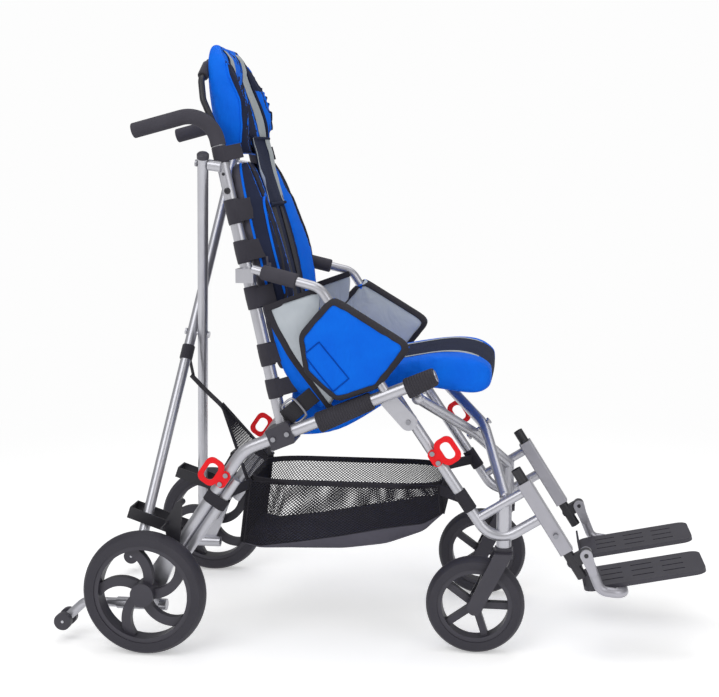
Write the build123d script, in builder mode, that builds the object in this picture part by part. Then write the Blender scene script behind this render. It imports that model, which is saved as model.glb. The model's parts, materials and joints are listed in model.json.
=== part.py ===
from build123d import *
import os
from math import cos, radians, sin

os.makedirs("parts", exist_ok=True)

# Folding special needs stroller: two bent-tube side frames joined by a rear and a front scissor brace.
# Millimetres, X forward, Y to the occupant's left, Z up. Right-hand pieces are modelled at negative Y
# and mirrored. Lengths given as "ahead" are measured forward from the rear axle.

# Clearances
FIT = 0.1
RUN = 0.3

# Wheels
REAR_WHEEL_RADIUS = 127.0
REAR_TYRE_WIDTH = 44.0
REAR_RIM_RADIUS = 101.0
REAR_HUB_RADIUS = 24.0
REAR_HUB_WIDTH = 48.0
REAR_WHEEL_Y = 280.0
FRONT_WHEEL_RADIUS = 100.0
FRONT_TYRE_WIDTH = 40.0
FRONT_RIM_RADIUS = 76.0
FRONT_HUB_RADIUS = 17.0
FRONT_HUB_WIDTH = 44.0
SPOKES = 5
# Sweep angle and width of a spoke
REAR_SPOKE = (38.0, 19.0)
FRONT_SPOKE = (0.0, 14.0)
SPOKE_DEPTH = 16.0
RIM_DEPTH = 9.0
HUB_CAP = 6.0
STUB_AXLE_RADIUS = 6.0
FRONT_AXLE_RADIUS = 5.0

# Casters
CASTER_AHEAD_OF_FOOT = 19.35
CASTER_Y = 184.0
CASTER_TRAIL = 56.0
HOUSING_RADIUS = 15.0
HOUSING_ABOVE_WHEEL = 22.0
STEM_RADIUS = 7.5
STEM_LENGTH = 72.0
FORK_PLATE = 5.0
FORK_SIDE_GAP = 3.0
CROWN_RADIUS = 18.0
CROWN_HEIGHT = 17.0

# Side frame tubes
TUBE = 25.4
THIN_TUBE = 22.2
WALL = 2.0
FRAME_Y = 226.0
LEG_ANGLE = 55.7
LEG_START = 24.0
LEG_LENGTH = 348.0
RAIL_ANGLE = 22.3
RAIL_LENGTH = 417.0
KNEE_BEND = 70.0
DOUBLER_TUBE = 20.0
DOUBLER_START = 94.0
DOUBLER_END = 288.0
DOUBLER_OFFSET = 22.0

# Push canes
CANE_ALONG_RAIL = 83.0
CANE_FOOT_Y = 198.0
CANE_TAIL = 18.0
CANE_BACK = 152.0
CANE_IN = 36.0
CANE_RISE = 645.0
CANE_BEND = 61.0
HANDLE_BACK = 155.0
HANDLE_DROP = 40.0
GRIP_OUTER = 31.0
GRIP_BELOW_BEND = 73.65
GRIP_CAP = 6.0
CLAMP_LENGTH = 50.0
CLAMP_HEIGHT = 44.0
CLAMP_WALL = 4.0
CLAMP_SCREW_SPACING = 30.0

# Front legs
FRONT_LEG_Y = 192.0
FRONT_LEG_ALONG_RAIL = 329.0
FRONT_LEG_DROP = 17.4
FRONT_LEG_ANGLE = 56.2
FRONT_FOOT_ABOVE_HOUSING = 5.42
FRONT_LEG_BEND = 52.0
FRONT_RUN = 117.4
BRANCH_TUBE = 19.0
BRANCH_ABOVE_FOOT = 62.4
BRACKET_RADIUS = 17.0
BRACKET_UP = (-14.0, -18.0)
BRACKET_DOWN = (26.0, -62.0)

# Footrest hangers
HANGER_ANGLE = 122.2
SLEEVE_SIZE = 28.0
SLEEVE_BELOW = 84.0
SLEEVE_ABOVE = 80.0
HANGER_TUBE = 21.0
HANGER_BELOW = 144.3
HANGER_ABOVE = 110.0
FLIP_ALONG = 36.6
FLIP_AHEAD = 30.1
FLIP_LUG = 16.0
FLIP_LUG_RADIUS = 12.0
FLIP_CHEEK = 5.0
FLIP_PIN_RADIUS = 4.0
FOOT_TUBE = 20.0
FOOT_TUBE_BEND = 22.0
FOOT_TUBE_TOP = (5.6, -14.0)
FOOT_TUBE_HEEL = (30.0, -74.0)
FOOT_TUBE_TOE = 56.0
CHEEK_TAIL = (13.6, -34.0)
FOOT_TUBE_REACH = 78.0
HEEL_DROP = 85.0
PLATE_TILT = 12.0
PLATE_LENGTH = 244.0
PLATE_THICK = 9.0
PLATE_INNER_Y = 45.0
PLATE_OUTER_Y = 176.0
PLATE_CORNER = 22.0
PLATE_SLOTS = 3
PLATE_SLOT = (44.0, 5.0)
PLATE_SLOT_PITCH = 61.6
PLATE_SLOT_DEPTH = 2.0
HEEL_STOP_HEIGHT = 26.0
HEEL_STOP_WALL = 4.0

# Rear scissor brace and its links
BRACE_PIVOT_BEHIND = 23.90
BRACE_PIVOT_Y = 180.0
BRACE_PIVOT_BELOW = 105.98
BRACE_LOW_AHEAD = -10.0
BRACE_LOW_Z = 256.0
BRACE_OFFSET = 12.0
BRACE_TOP_OVERHANG = 20.0
BRACE_LOW_OVERHANG = 82.0
PIN_RADIUS = 4.0
PIN_HEAD_RADIUS = 7.0
PIN_HEAD = 4.0
BOSS_RADIUS = 11.0
LINK_ALONG_LEG = 123.5
LINK_LENGTH = 128.0
LINK_HALF_GAP = 24.0
LINK_PLATE = 3.0
LINK_HALF_HEIGHT = 12.0
LINK_EYE_RADIUS = 14.0
LINK_RIVET_ALONG = 38.0

# Front scissor brace
FRONT_LOW = (20.35, 155.0, 90.58)
FRONT_BOW = (18.62, 15.80)
FRONT_TOP = (42.50, 190.0, -0.92)
FRONT_OFFSET = 14.0
FRONT_BRACE_BEND = 120.0
NUT_PLAY = 0.8
LOW_BALL_RADIUS = 12.0
TOP_BALL_RADIUS = 13.0
OPEN_PIVOT_GAP = 3.5
STUD_RADIUS = 6.0

# Armrests
ARM_CLAMP_ALONG_CANE = 326.0
ARM_START = (15.5, -27.7, 13.1)
ARM_REACH = (138.0, -14.0, -34.0)
ARM_ALONG_RAIL = 313.0
ARM_TUBE = 19.0
ARM_BEND = 40.0
ARM_PAD_OUTER = 30.0
ARM_PAD_SPAN = (0.14, 0.66)
ARM_CLAMP = (36.0, 34.0, 28.0)

# Rear axle plates, brake levers and tipping guards
PLATE_SIDE = 5.0
PLATE_SADDLE = 7.0
AXLE_EYE_RADIUS = 20.0
BRAKE_ALONG_LEG = 102.0
BRAKE_BEHIND_LEG = 6.6
BRAKE_EYE_RADIUS = 13.0
BRAKE_PLATE = 5.0
BRAKE_PEDAL = (13.0, 87.0)
BRAKE_ROD = (-11.0, 48.0)
BRAKE_ROD_RADIUS = 3.0
RECEIVER_Y = 228.0
RECEIVER_Z = 84.0
RECEIVER_TUBE = 24.0
RECEIVER_BACK = -75.0
RECEIVER_FRONT = 30.0
GUARD_TUBE = 19.0
GUARD_BEND_AHEAD = -145.0
GUARD_BEND = 30.0
ROLLER_AHEAD = -188.0
ROLLER_Z = 44.0
ROLLER_RADIUS = 18.0
ROLLER_WIDTH = 13.0
ROLLER_PIN_RADIUS = 3.0

# Tie-down loops
LOOP_PLATE = 5.0
LOOP_LENGTH = 56.0
LOOP_WIDTH = 42.0
LOOP_STROKE = 10.0
LOOP_CORNER = 15.0
LOOP_OFFSET = 29.0
LOOP_TAB = 36.0
LOOP_TAB_WIDTH = 22.0
LOOP_BOLT_SPACING = 22.0
REAR_LOOP_ALONG_LEG = 276.0
FRONT_LOOP_ALONG_LEG = 142.0
SCREW_RADIUS = 5.0
SCREW_HEAD = 4.0

# Head rod
HEAD_ROD = 13.5
HEAD_ROD_OFFSET = 22.0
HEAD_ROD_BELOW_BEND = (183.65, 53.65)
HEAD_ROD_BEND = 26.0
HEAD_ROD_POINTS = ((-20.9, -136.0, 21.0), (-28.9, -118.0, 61.0), (-24.9, -66.0, 101.0))

# Soft pieces, as rows of crowned sections
SIDE_BULGE = 4.0
SEAT_REAR_HALF = CANE_FOOT_Y - TUBE / 2 - CLAMP_WALL - RUN - SIDE_BULGE
SEAT_ROWS = (
    # ahead of the cane's foot, bottom and top above it, half width, belly, crown
    (7.1, -16.0, 94.0, SEAT_REAR_HALF, 2.0, 4.0),
    (87.1, -10.0, 122.0, 166.0, 6.0, 8.0),
    (197.1, 54.0, 138.0, 163.0, 4.0, 6.0),
    (307.1, 90.0, 158.0, 168.0, 4.0, 5.0),
    (375.1, 80.0, 156.0, 172.0, 4.0, 5.0),
    (417.1, 98.0, 130.0, 150.0, 6.0, 6.0),
)
BACK_ROWS = (
    # share of the cane's length, rear, front, half width, rear crown, front hollow
    (0.1748, 14.0, 58.0, 160.0, 2.0, 8.0),
    (0.4370, 10.0, 80.0, 174.0, 4.0, 26.0),
    (0.5877, 10.0, 84.0, 175.0, 4.0, 30.0),
    (0.7233, 10.0, 72.0, 168.0, 4.0, 26.0),
    (0.8318, 12.0, 56.0, 146.0, 2.0, 14.0),
)
HEAD_ROWS = (
    # above the bend of the cane, rear and front corners ahead of it, half width, rear crown, front hollow
    (-87.0, 25.1, 75.1, 100.0, 12.0, 12.0),
    (-46.0, 9.1, 75.1, 118.0, 18.0, 30.0),
    (9.0, -0.9, 77.1, 122.0, 22.0, 42.0),
    (69.0, -6.9, 55.1, 120.0, 22.0, 36.0),
    (114.0, -10.9, 27.1, 106.0, 18.0, 18.0),
    (144.0, -8.9, 9.1, 70.0, 8.0, 4.0),
)
WING_OUTLINE = (
    # ahead of the cane's foot, above it
    (33.1, 204.0),
    (103.1, 286.0),
    (267.1, 186.0),
    (197.1, 98.0),
    (111.1, 68.0),
    (45.1, 126.0),
)
WING_CORNER = 16.0
WING_HALF_THICK = 19.0
WING_DRAW_IN = 0.9
BASKET_OUTLINE = (
    # ahead, height
    (177.0, 328.0),
    (160.0, 188.0),
    (200.0, 174.0),
    (380.0, 177.0),
    (470.0, 190.0),
    (550.0, 222.0),
    (592.0, 266.0),
    (586.0, 328.0),
)
BASKET_HALF_WIDTH = 116.0
BASKET_WALL = 3.0
BASKET_HEM = 16.0
BASKET_HEM_STAND = 2.0
BASKET_TAB = (4.0, 26.0)
BASKET_TAB_LOW = 298.0

# Places worked out from the sizes above
HANGER_DIR = Vector(cos(radians(HANGER_ANGLE)), 0, sin(radians(HANGER_ANGLE)))
HANGER_AHEAD_DIR = Vector(HANGER_DIR.Z, 0, -HANGER_DIR.X)
FRONT_LEG_DIR = Vector(cos(radians(FRONT_LEG_ANGLE)), 0, -sin(radians(FRONT_LEG_ANGLE)))
LEG_DIR = Vector(cos(radians(LEG_ANGLE)), 0, sin(radians(LEG_ANGLE)))
RAIL_DIR = Vector(cos(radians(RAIL_ANGLE)), 0, sin(radians(RAIL_ANGLE)))
KNEE = Vector(0, -FRAME_Y, REAR_WHEEL_RADIUS) + LEG_DIR * LEG_LENGTH
FRONT_LEG_TOP = KNEE + RAIL_DIR * FRONT_LEG_ALONG_RAIL + Vector(0, FRAME_Y - FRONT_LEG_Y, -FRONT_LEG_DROP)
HOUSING_BOTTOM = 2 * FRONT_WHEEL_RADIUS + HOUSING_ABOVE_WHEEL
FRONT_FOOT_HEIGHT = HOUSING_BOTTOM + FRONT_FOOT_ABOVE_HOUSING
FRONT_LEG_LENGTH = (FRONT_FOOT_HEIGHT - FRONT_LEG_TOP.Z) / FRONT_LEG_DIR.Z
FRONT_LEG_FOOT = FRONT_LEG_TOP + FRONT_LEG_DIR * FRONT_LEG_LENGTH
CASTER_AHEAD = FRONT_LEG_FOOT.X + CASTER_AHEAD_OF_FOOT
HANGER_JOINT = FRONT_LEG_FOOT + HANGER_AHEAD_DIR * FRONT_RUN
FLIP_PIVOT = HANGER_JOINT - HANGER_DIR * (HANGER_BELOW - FLIP_ALONG) + HANGER_AHEAD_DIR * FLIP_AHEAD
TOE_AHEAD = FLIP_PIVOT.X + PLATE_LENGTH * cos(radians(PLATE_TILT))
TAIL_BEHIND = ROLLER_AHEAD - ROLLER_RADIUS
REAR_AXLE_X = -(TOE_AHEAD + TAIL_BEHIND) / 2
ORIGIN_SHIFT = Vector(REAR_AXLE_X, 0, 0)


def at(ahead, y, z):
    """Point given by its distance ahead of the rear axle, its side offset and its height."""
    return Vector(REAR_AXLE_X + ahead, y, z)


def on_leg(distance):
    """Point on the axis of the right leg, measured up from the rear axle."""
    return at(0, -FRAME_Y, REAR_WHEEL_RADIUS) + LEG_DIR * distance


def on_rail(distance):
    """Point on the axis of the right seat rail, measured forward from the knee."""
    return on_leg(LEG_LENGTH) + RAIL_DIR * distance


def on_front_leg(distance):
    """Point on the axis of the right front leg, measured down from its top."""
    return FRONT_LEG_TOP + ORIGIN_SHIFT + FRONT_LEG_DIR * distance


def on_hanger(distance):
    """Point on the axis of the right footrest hanger, measured up from the end of the front leg."""
    return HANGER_JOINT + ORIGIN_SHIFT + HANGER_DIR * distance


def across(point, y):
    """The same point of the side view at another side offset."""
    return Vector(point.X, y, point.Z)


def side_plane(point, y, x_dir=(1, 0, 0)):
    """Plane of the side view through a point, whose normal points to the right of the stroller."""
    return Plane(origin=across(point, y), x_dir=x_dir, z_dir=(0, -1, 0))


def rod(start, end, radius, mode=Mode.ADD):
    """Round bar between two points, in the part that is being built."""
    run = end - start
    with Locations(Plane(origin=start, z_dir=run)):
        Cylinder(radius, run.length, align=(Align.CENTER, Align.CENTER, Align.MIN), mode=mode)


def ball(centre, radius, along=(0, 0, 1), mode=Mode.ADD):
    """Sphere about a point, with its poles along a direction, in the part that is being built."""
    with Locations(Plane(origin=centre, z_dir=along)):
        Sphere(radius, mode=mode)


def bent_tube(points, bends, outer, wall=0.0):
    """Tube of straight runs joined by arcs, or a solid bar where it has no wall."""
    with BuildPart() as tube:
        with BuildLine() as path:
            if bends:
                FilletPolyline(*points, radius=bends)
            else:
                Line(*points)
        with BuildSketch(Plane(origin=path.line @ 0, z_dir=path.line % 0)):
            Circle(outer / 2)
            if wall:
                Circle(outer / 2 - wall, mode=Mode.SUBTRACT)
        sweep()
    return tube.part


def padded(rows):
    """Closed pad through sections of four arcs: far side, right side, near side and left side."""
    with BuildPart() as pad:
        for plane, half_width, low, high, low_rise, high_rise in rows:
            middle = (low + high) / 2
            widest = half_width + SIDE_BULGE
            with BuildSketch(plane):
                with BuildLine():
                    ThreePointArc((-half_width, high), (0, high + high_rise), (half_width, high))
                    ThreePointArc((half_width, high), (widest, middle), (half_width, low))
                    ThreePointArc((half_width, low), (0, low - low_rise), (-half_width, low))
                    ThreePointArc((-half_width, low), (-widest, middle), (-half_width, high))
                make_face()
        loft()
    return pad.part


def write(part, name):
    """Label one finished piece and write it."""
    part.label = name
    export_step(part, f"parts/{name}.step")


def write_pair(right_part, name):
    """Write a right-hand piece and its mirrored left-hand twin."""
    write(right_part, f"right_{name}")
    write(mirror(right_part, about=Plane.XZ), f"left_{name}")


# Side tube: leg, knee and seat rail in one bent tube, with a doubler along the leg
side_points = (on_leg(LEG_START), on_leg(LEG_LENGTH), on_rail(RAIL_LENGTH))
side_bar = bent_tube(side_points, KNEE_BEND, TUBE)
side_core = bent_tube(side_points, KNEE_BEND, TUBE + 2 * FIT)
doubler_shift = Vector(LEG_DIR.Z, 0, -LEG_DIR.X) * DOUBLER_OFFSET
doubler_ends = (on_leg(DOUBLER_START) + doubler_shift, on_leg(DOUBLER_END) + doubler_shift)
doubler = bent_tube(doubler_ends, 0, DOUBLER_TUBE)
with BuildPart() as side_tube:
    add(side_bar)
    add(doubler)
    add(bent_tube(side_points, KNEE_BEND, TUBE - 2 * WALL), mode=Mode.SUBTRACT)
write_pair(side_tube.part, "side_tube")

# Push cane: a straight upright leaning back and in, bent into the handle
cane_foot = across(on_rail(CANE_ALONG_RAIL), -CANE_FOOT_Y)
cane_bend = cane_foot + Vector(-CANE_BACK, CANE_IN, CANE_RISE)
handle_end = cane_bend + Vector(-HANDLE_BACK, 0, -HANDLE_DROP)
cane_length = (cane_bend - cane_foot).length
cane_dir = (cane_bend - cane_foot).normalized()
handle_dir = (handle_end - cane_bend).normalized()
cane_points = (cane_foot - cane_dir * CANE_TAIL, cane_bend, handle_end)
cane_core = bent_tube(cane_points, CANE_BEND, TUBE + 2 * FIT)
cane_seat = bent_tube(cane_points, CANE_BEND, TUBE + 2 * RUN)
cane_bore = bent_tube(cane_points, CANE_BEND, TUBE - 2 * WALL)
brace_top = across(cane_bend - Vector(BRACE_PIVOT_BEHIND, 0, BRACE_PIVOT_BELOW), -BRACE_PIVOT_Y)
brace_low = at(BRACE_LOW_AHEAD, -BRACE_PIVOT_Y, BRACE_LOW_Z)
brace_rise = (brace_top - brace_low).normalized()
brace_normal = Vector(brace_rise.Z, 0, -brace_rise.X)
cane_share = (brace_top.Z - cane_foot.Z) / CANE_RISE
boss_root = (cane_foot.X - CANE_BACK * cane_share - brace_top.X) / brace_normal.X


def push_cane(boss_face):
    """Cane with the boss that carries the top pivot of a rear brace, from its face to the tube."""
    with BuildPart() as cane:
        add(bent_tube(cane_points, CANE_BEND, TUBE))
        rod(brace_top + brace_normal * boss_face, brace_top + brace_normal * boss_root, BOSS_RADIUS)
        add(cane_bore, mode=Mode.SUBTRACT)
    return cane.part


near_face = BRACE_OFFSET + THIN_TUBE / 2 + RUN
far_face = -BRACE_OFFSET + THIN_TUBE / 2 + RUN
write(push_cane(near_face), "right_cane")
write(mirror(push_cane(far_face), about=Plane.XZ), "left_cane")

# Foam handle grip over the bend and past the end of the cane
grip_points = (cane_bend - cane_dir * GRIP_BELOW_BEND, cane_bend, handle_end + handle_dir * GRIP_CAP)
with BuildPart() as grip:
    add(bent_tube(grip_points, CANE_BEND, GRIP_OUTER))
    add(cane_core, mode=Mode.SUBTRACT)
    fillet(grip.edges().group_by(Axis.X)[0], GRIP_CAP / 2)
write_pair(grip.part, "grip")

# Clamp that joins the cane to the seat rail
clamp_inner = -CANE_FOOT_Y + TUBE / 2 + CLAMP_WALL
clamp_outer = -FRAME_Y - TUBE / 2 - CLAMP_WALL
clamp_middle = on_rail(CANE_ALONG_RAIL)
with BuildPart() as cane_clamp:
    with BuildSketch(side_plane(clamp_middle, clamp_inner, RAIL_DIR)):
        RectangleRounded(CLAMP_LENGTH, CLAMP_HEIGHT, CLAMP_WALL)
    extrude(amount=clamp_inner - clamp_outer)
    add(side_core, mode=Mode.SUBTRACT)
    add(cane_core, mode=Mode.SUBTRACT)
write_pair(cane_clamp.part, "cane_clamp")

# Front leg, bent forward to the footrest sleeve, with its branch, caster housing and brace stud
leg_end = on_hanger(0) - HANGER_AHEAD_DIR * (SLEEVE_SIZE / 2)
front_leg_points = (on_front_leg(0), on_front_leg(FRONT_LEG_LENGTH), leg_end)
branch_root = on_front_leg(FRONT_LEG_LENGTH - BRANCH_ABOVE_FOOT)
branch_run = (on_hanger(0) - branch_root).dot(HANGER_AHEAD_DIR) - SLEEVE_SIZE / 2
branch_end = branch_root + HANGER_AHEAD_DIR * branch_run
caster_axis = at(CASTER_AHEAD, -CASTER_Y, 0)
housing_bottom = caster_axis + Vector(0, 0, HOUSING_BOTTOM)
branch_share = (caster_axis.X - branch_root.X) / HANGER_AHEAD_DIR.X
housing_top = across(branch_root + HANGER_AHEAD_DIR * branch_share, -CASTER_Y)
stem_top = housing_bottom + Vector(0, 0, STEM_LENGTH)
low_right = at(FRONT_LEG_FOOT.X + FRONT_LOW[0], -FRONT_LOW[1], FRONT_LEG_FOOT.Z + FRONT_LOW[2])
front_leg_core = bent_tube(front_leg_points, FRONT_LEG_BEND, THIN_TUBE + 2 * FIT)


def front_leg(stud_gap):
    """Front leg weldment whose stud ends a gap away from the ball of the front brace."""
    with BuildPart() as leg:
        add(bent_tube(front_leg_points, FRONT_LEG_BEND, THIN_TUBE))
        add(bent_tube((branch_root, branch_end), 0, BRANCH_TUBE))
        rod(housing_bottom, housing_top, HOUSING_RADIUS)
        rod(across(low_right, -FRONT_LEG_Y), low_right, STUD_RADIUS)
        ball(low_right, LOW_BALL_RADIUS + stud_gap, mode=Mode.SUBTRACT)
        rod(housing_bottom, stem_top, STEM_RADIUS + RUN, Mode.SUBTRACT)
    return leg.part


write(front_leg(RUN), "right_front_leg")
write(mirror(front_leg(OPEN_PIVOT_GAP), about=Plane.XZ), "left_front_leg")

# Cast bracket between the seat rail and the front leg
bracket_inner = -FRONT_LEG_Y - THIN_TUBE / 2 + FIT
bracket_outer = -FRAME_Y + TUBE / 4
bracket_plane = side_plane(on_rail(FRONT_LEG_ALONG_RAIL), bracket_inner)
with BuildPart() as leg_bracket:
    with BuildSketch(bracket_plane):
        with Locations(BRACKET_UP, BRACKET_DOWN):
            Circle(BRACKET_RADIUS)
        make_hull()
    extrude(amount=bracket_inner - bracket_outer)
    add(side_core, mode=Mode.SUBTRACT)
    add(front_leg_core, mode=Mode.SUBTRACT)
write_pair(leg_bracket.part, "leg_bracket")

# Square sleeve of the footrest hanger
sleeve_plane = Plane(origin=on_hanger(-SLEEVE_BELOW), x_dir=HANGER_AHEAD_DIR, z_dir=HANGER_DIR)
with BuildPart() as footrest_sleeve:
    with BuildSketch(sleeve_plane):
        RectangleRounded(SLEEVE_SIZE, SLEEVE_SIZE, CLAMP_WALL)
        Circle(HANGER_TUBE / 2 + RUN, mode=Mode.SUBTRACT)
    extrude(amount=SLEEVE_BELOW + SLEEVE_ABOVE)
write_pair(footrest_sleeve.part, "footrest_sleeve")

# Sliding footrest tube with the lug and pin that the foot arm swings on
flip_pivot = FLIP_PIVOT + ORIGIN_SHIFT
lug_root = on_hanger(FLIP_ALONG - HANGER_BELOW)
lug_side = -FRONT_LEG_Y + FLIP_LUG / 2
flip_reach = FLIP_LUG / 2 + RUN + FLIP_CHEEK
with BuildPart() as footrest_tube:
    add(bent_tube((on_hanger(-HANGER_BELOW), on_hanger(HANGER_ABOVE)), 0, HANGER_TUBE))
    with BuildSketch(side_plane(lug_root, lug_side)):
        Circle(FLIP_LUG_RADIUS)
        with Locations(((flip_pivot - lug_root).X, (flip_pivot - lug_root).Z)):
            Circle(FLIP_LUG_RADIUS)
        make_hull()
    extrude(amount=FLIP_LUG)
    pin_ends = (-FRONT_LEG_Y - flip_reach - PIN_HEAD / 2, -FRONT_LEG_Y + flip_reach + PIN_HEAD / 2)
    rod(across(flip_pivot, pin_ends[0]), across(flip_pivot, pin_ends[1]), FLIP_PIN_RADIUS)
    rod(on_hanger(-HANGER_BELOW), on_hanger(HANGER_ABOVE), HANGER_TUBE / 2 - WALL, Mode.SUBTRACT)
write_pair(footrest_tube.part, "footrest_tube")

# Foot arm: two cheeks on the flip pin and a tube that turns in under the footplate
plate_along = Vector(cos(radians(PLATE_TILT)), 0, sin(radians(PLATE_TILT)))
plate_up = Vector(-plate_along.Z, 0, plate_along.X)
heel = across(flip_pivot, 0) - Vector(0, 0, HEEL_DROP)


def beside_pivot(offset, y):
    """Point at an ahead and up offset from the flip pivot, at a side offset."""
    return Vector(flip_pivot.X + offset[0], y, flip_pivot.Z + offset[1])


under_plate = heel + plate_along * (FOOT_TUBE_TOE + FOOT_TUBE) - plate_up * (FOOT_TUBE / 2 + RUN)
arm_points = (
    beside_pivot(FOOT_TUBE_TOP, -FRONT_LEG_Y),
    beside_pivot(FOOT_TUBE_HEEL, -FRONT_LEG_Y),
    across(under_plate, -FRONT_LEG_Y),
    across(under_plate, -FRONT_LEG_Y + FOOT_TUBE_REACH),
)
with BuildPart() as foot_arm:
    add(bent_tube(arm_points, FOOT_TUBE_BEND, FOOT_TUBE, WALL))
    for cheek_side in (-FRONT_LEG_Y + flip_reach, -FRONT_LEG_Y - FLIP_LUG / 2 - RUN):
        with BuildSketch(side_plane(flip_pivot, cheek_side)):
            Circle(FLIP_LUG_RADIUS)
            with Locations(CHEEK_TAIL):
                Circle(FOOT_TUBE / 2 - WALL)
            make_hull()
            Circle(FLIP_PIN_RADIUS + RUN, mode=Mode.SUBTRACT)
        extrude(amount=FLIP_CHEEK)
write_pair(foot_arm.part, "foot_arm")

# Footplate with grip slots and a raised heel stop
plate_width = PLATE_OUTER_Y - PLATE_INNER_Y
plate_middle = across(heel, -(PLATE_OUTER_Y + PLATE_INNER_Y) / 2) + plate_along * (PLATE_LENGTH / 2)
plate_plane = Plane(origin=plate_middle, x_dir=plate_along, z_dir=plate_up)
plate_top = plate_plane.offset(PLATE_THICK)
slot_pitch = plate_width / (PLATE_SLOTS + 1)
with BuildPart() as footplate:
    with BuildSketch(plate_plane):
        RectangleRounded(PLATE_LENGTH, plate_width, PLATE_CORNER)
    extrude(amount=PLATE_THICK)
    with BuildSketch(plate_top):
        with GridLocations(PLATE_SLOT_PITCH, slot_pitch, PLATE_SLOTS, PLATE_SLOTS):
            SlotOverall(*PLATE_SLOT)
    extrude(amount=-PLATE_SLOT_DEPTH, mode=Mode.SUBTRACT)
    with BuildSketch(plate_top):
        with Locations((-PLATE_LENGTH / 2 + HEEL_STOP_WALL / 2, 0)):
            Rectangle(HEEL_STOP_WALL, plate_width - 2 * PLATE_CORNER)
    extrude(amount=HEEL_STOP_HEIGHT)
write_pair(footplate.part, "footplate")

# Rear wheels: tyre, and a rim with swept spokes and a capped hub
rear_hub = at(0, -REAR_WHEEL_Y, REAR_WHEEL_RADIUS)
front_hub = at(CASTER_AHEAD - CASTER_TRAIL, -CASTER_Y, FRONT_WHEEL_RADIUS)


def tyre(hub, radius, rim_radius, width):
    """Solid tyre with a rounded tread and shoulders that narrow to the rim."""
    shoulder = radius - width / 5
    half = width / 2
    with BuildPart() as ring:
        with BuildSketch(Plane(origin=hub, x_dir=(1, 0, 0), z_dir=(0, 0, 1))):
            with BuildLine():
                ThreePointArc((shoulder, -half), (radius, 0), (shoulder, half))
                Polyline((shoulder, half), (rim_radius + FIT, half - WALL), (rim_radius + FIT, WALL - half))
                Line((rim_radius + FIT, WALL - half), (shoulder, -half))
            make_face()
        revolve(axis=Axis(hub, (0, 1, 0)))
    return ring.part


def rim(hub, rim_radius, width, hub_radius, hub_width, spoke_shape):
    """Moulded rim: hoop, hub and spokes whose tips are swept back by an angle."""
    sweep_back, spoke_width = spoke_shape
    middle = side_plane(hub, hub.Y)
    tip_radius = rim_radius - RIM_DEPTH / 2
    with BuildSketch() as spoke:
        with BuildLine():
            turn = radians(sweep_back)
            tip = (tip_radius * cos(turn), tip_radius * sin(turn))
            if sweep_back:
                ThreePointArc((0, 0), (tip_radius / 2, tip_radius * sin(turn / 8)), tip)
            else:
                Line((0, 0), tip)
        trace(line_width=spoke_width)
    with BuildPart() as wheel:
        with BuildSketch(middle):
            Circle(rim_radius)
            Circle(rim_radius - RIM_DEPTH, mode=Mode.SUBTRACT)
        extrude(amount=width / 2, both=True)
        with BuildSketch(middle):
            with PolarLocations(0, SPOKES):
                add(spoke.sketch)
            Circle(tip_radius, mode=Mode.INTERSECT)
        extrude(amount=SPOKE_DEPTH / 2, both=True)
        with BuildSketch(middle):
            Circle(hub_radius)
        extrude(amount=hub_width / 2, both=True)
    return wheel.part


write_pair(tyre(rear_hub, REAR_WHEEL_RADIUS, REAR_RIM_RADIUS, REAR_TYRE_WIDTH), "rear_tyre")
write_pair(tyre(front_hub, FRONT_WHEEL_RADIUS, FRONT_RIM_RADIUS, FRONT_TYRE_WIDTH), "front_tyre")

rear_rim_width = REAR_TYRE_WIDTH - 4 * WALL
stub_end = across(rear_hub, -REAR_WHEEL_Y - REAR_HUB_WIDTH / 2 + HUB_CAP)
with BuildPart() as rear_rim:
    add(rim(rear_hub, REAR_RIM_RADIUS, rear_rim_width, REAR_HUB_RADIUS, REAR_HUB_WIDTH, REAR_SPOKE))
    rod(across(rear_hub, -REAR_WHEEL_Y + REAR_HUB_WIDTH), stub_end, STUB_AXLE_RADIUS + RUN, Mode.SUBTRACT)
write_pair(rear_rim.part, "rear_rim")

front_rim_width = FRONT_TYRE_WIDTH - 4 * WALL
axle_left = across(front_hub, -CASTER_Y + FRONT_HUB_WIDTH)
axle_right = across(front_hub, -CASTER_Y - FRONT_HUB_WIDTH)
with BuildPart() as front_rim:
    add(rim(front_hub, FRONT_RIM_RADIUS, front_rim_width, FRONT_HUB_RADIUS, FRONT_HUB_WIDTH, FRONT_SPOKE))
    rod(axle_left, axle_right, FRONT_AXLE_RADIUS + RUN, Mode.SUBTRACT)
write_pair(front_rim.part, "front_rim")

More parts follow.
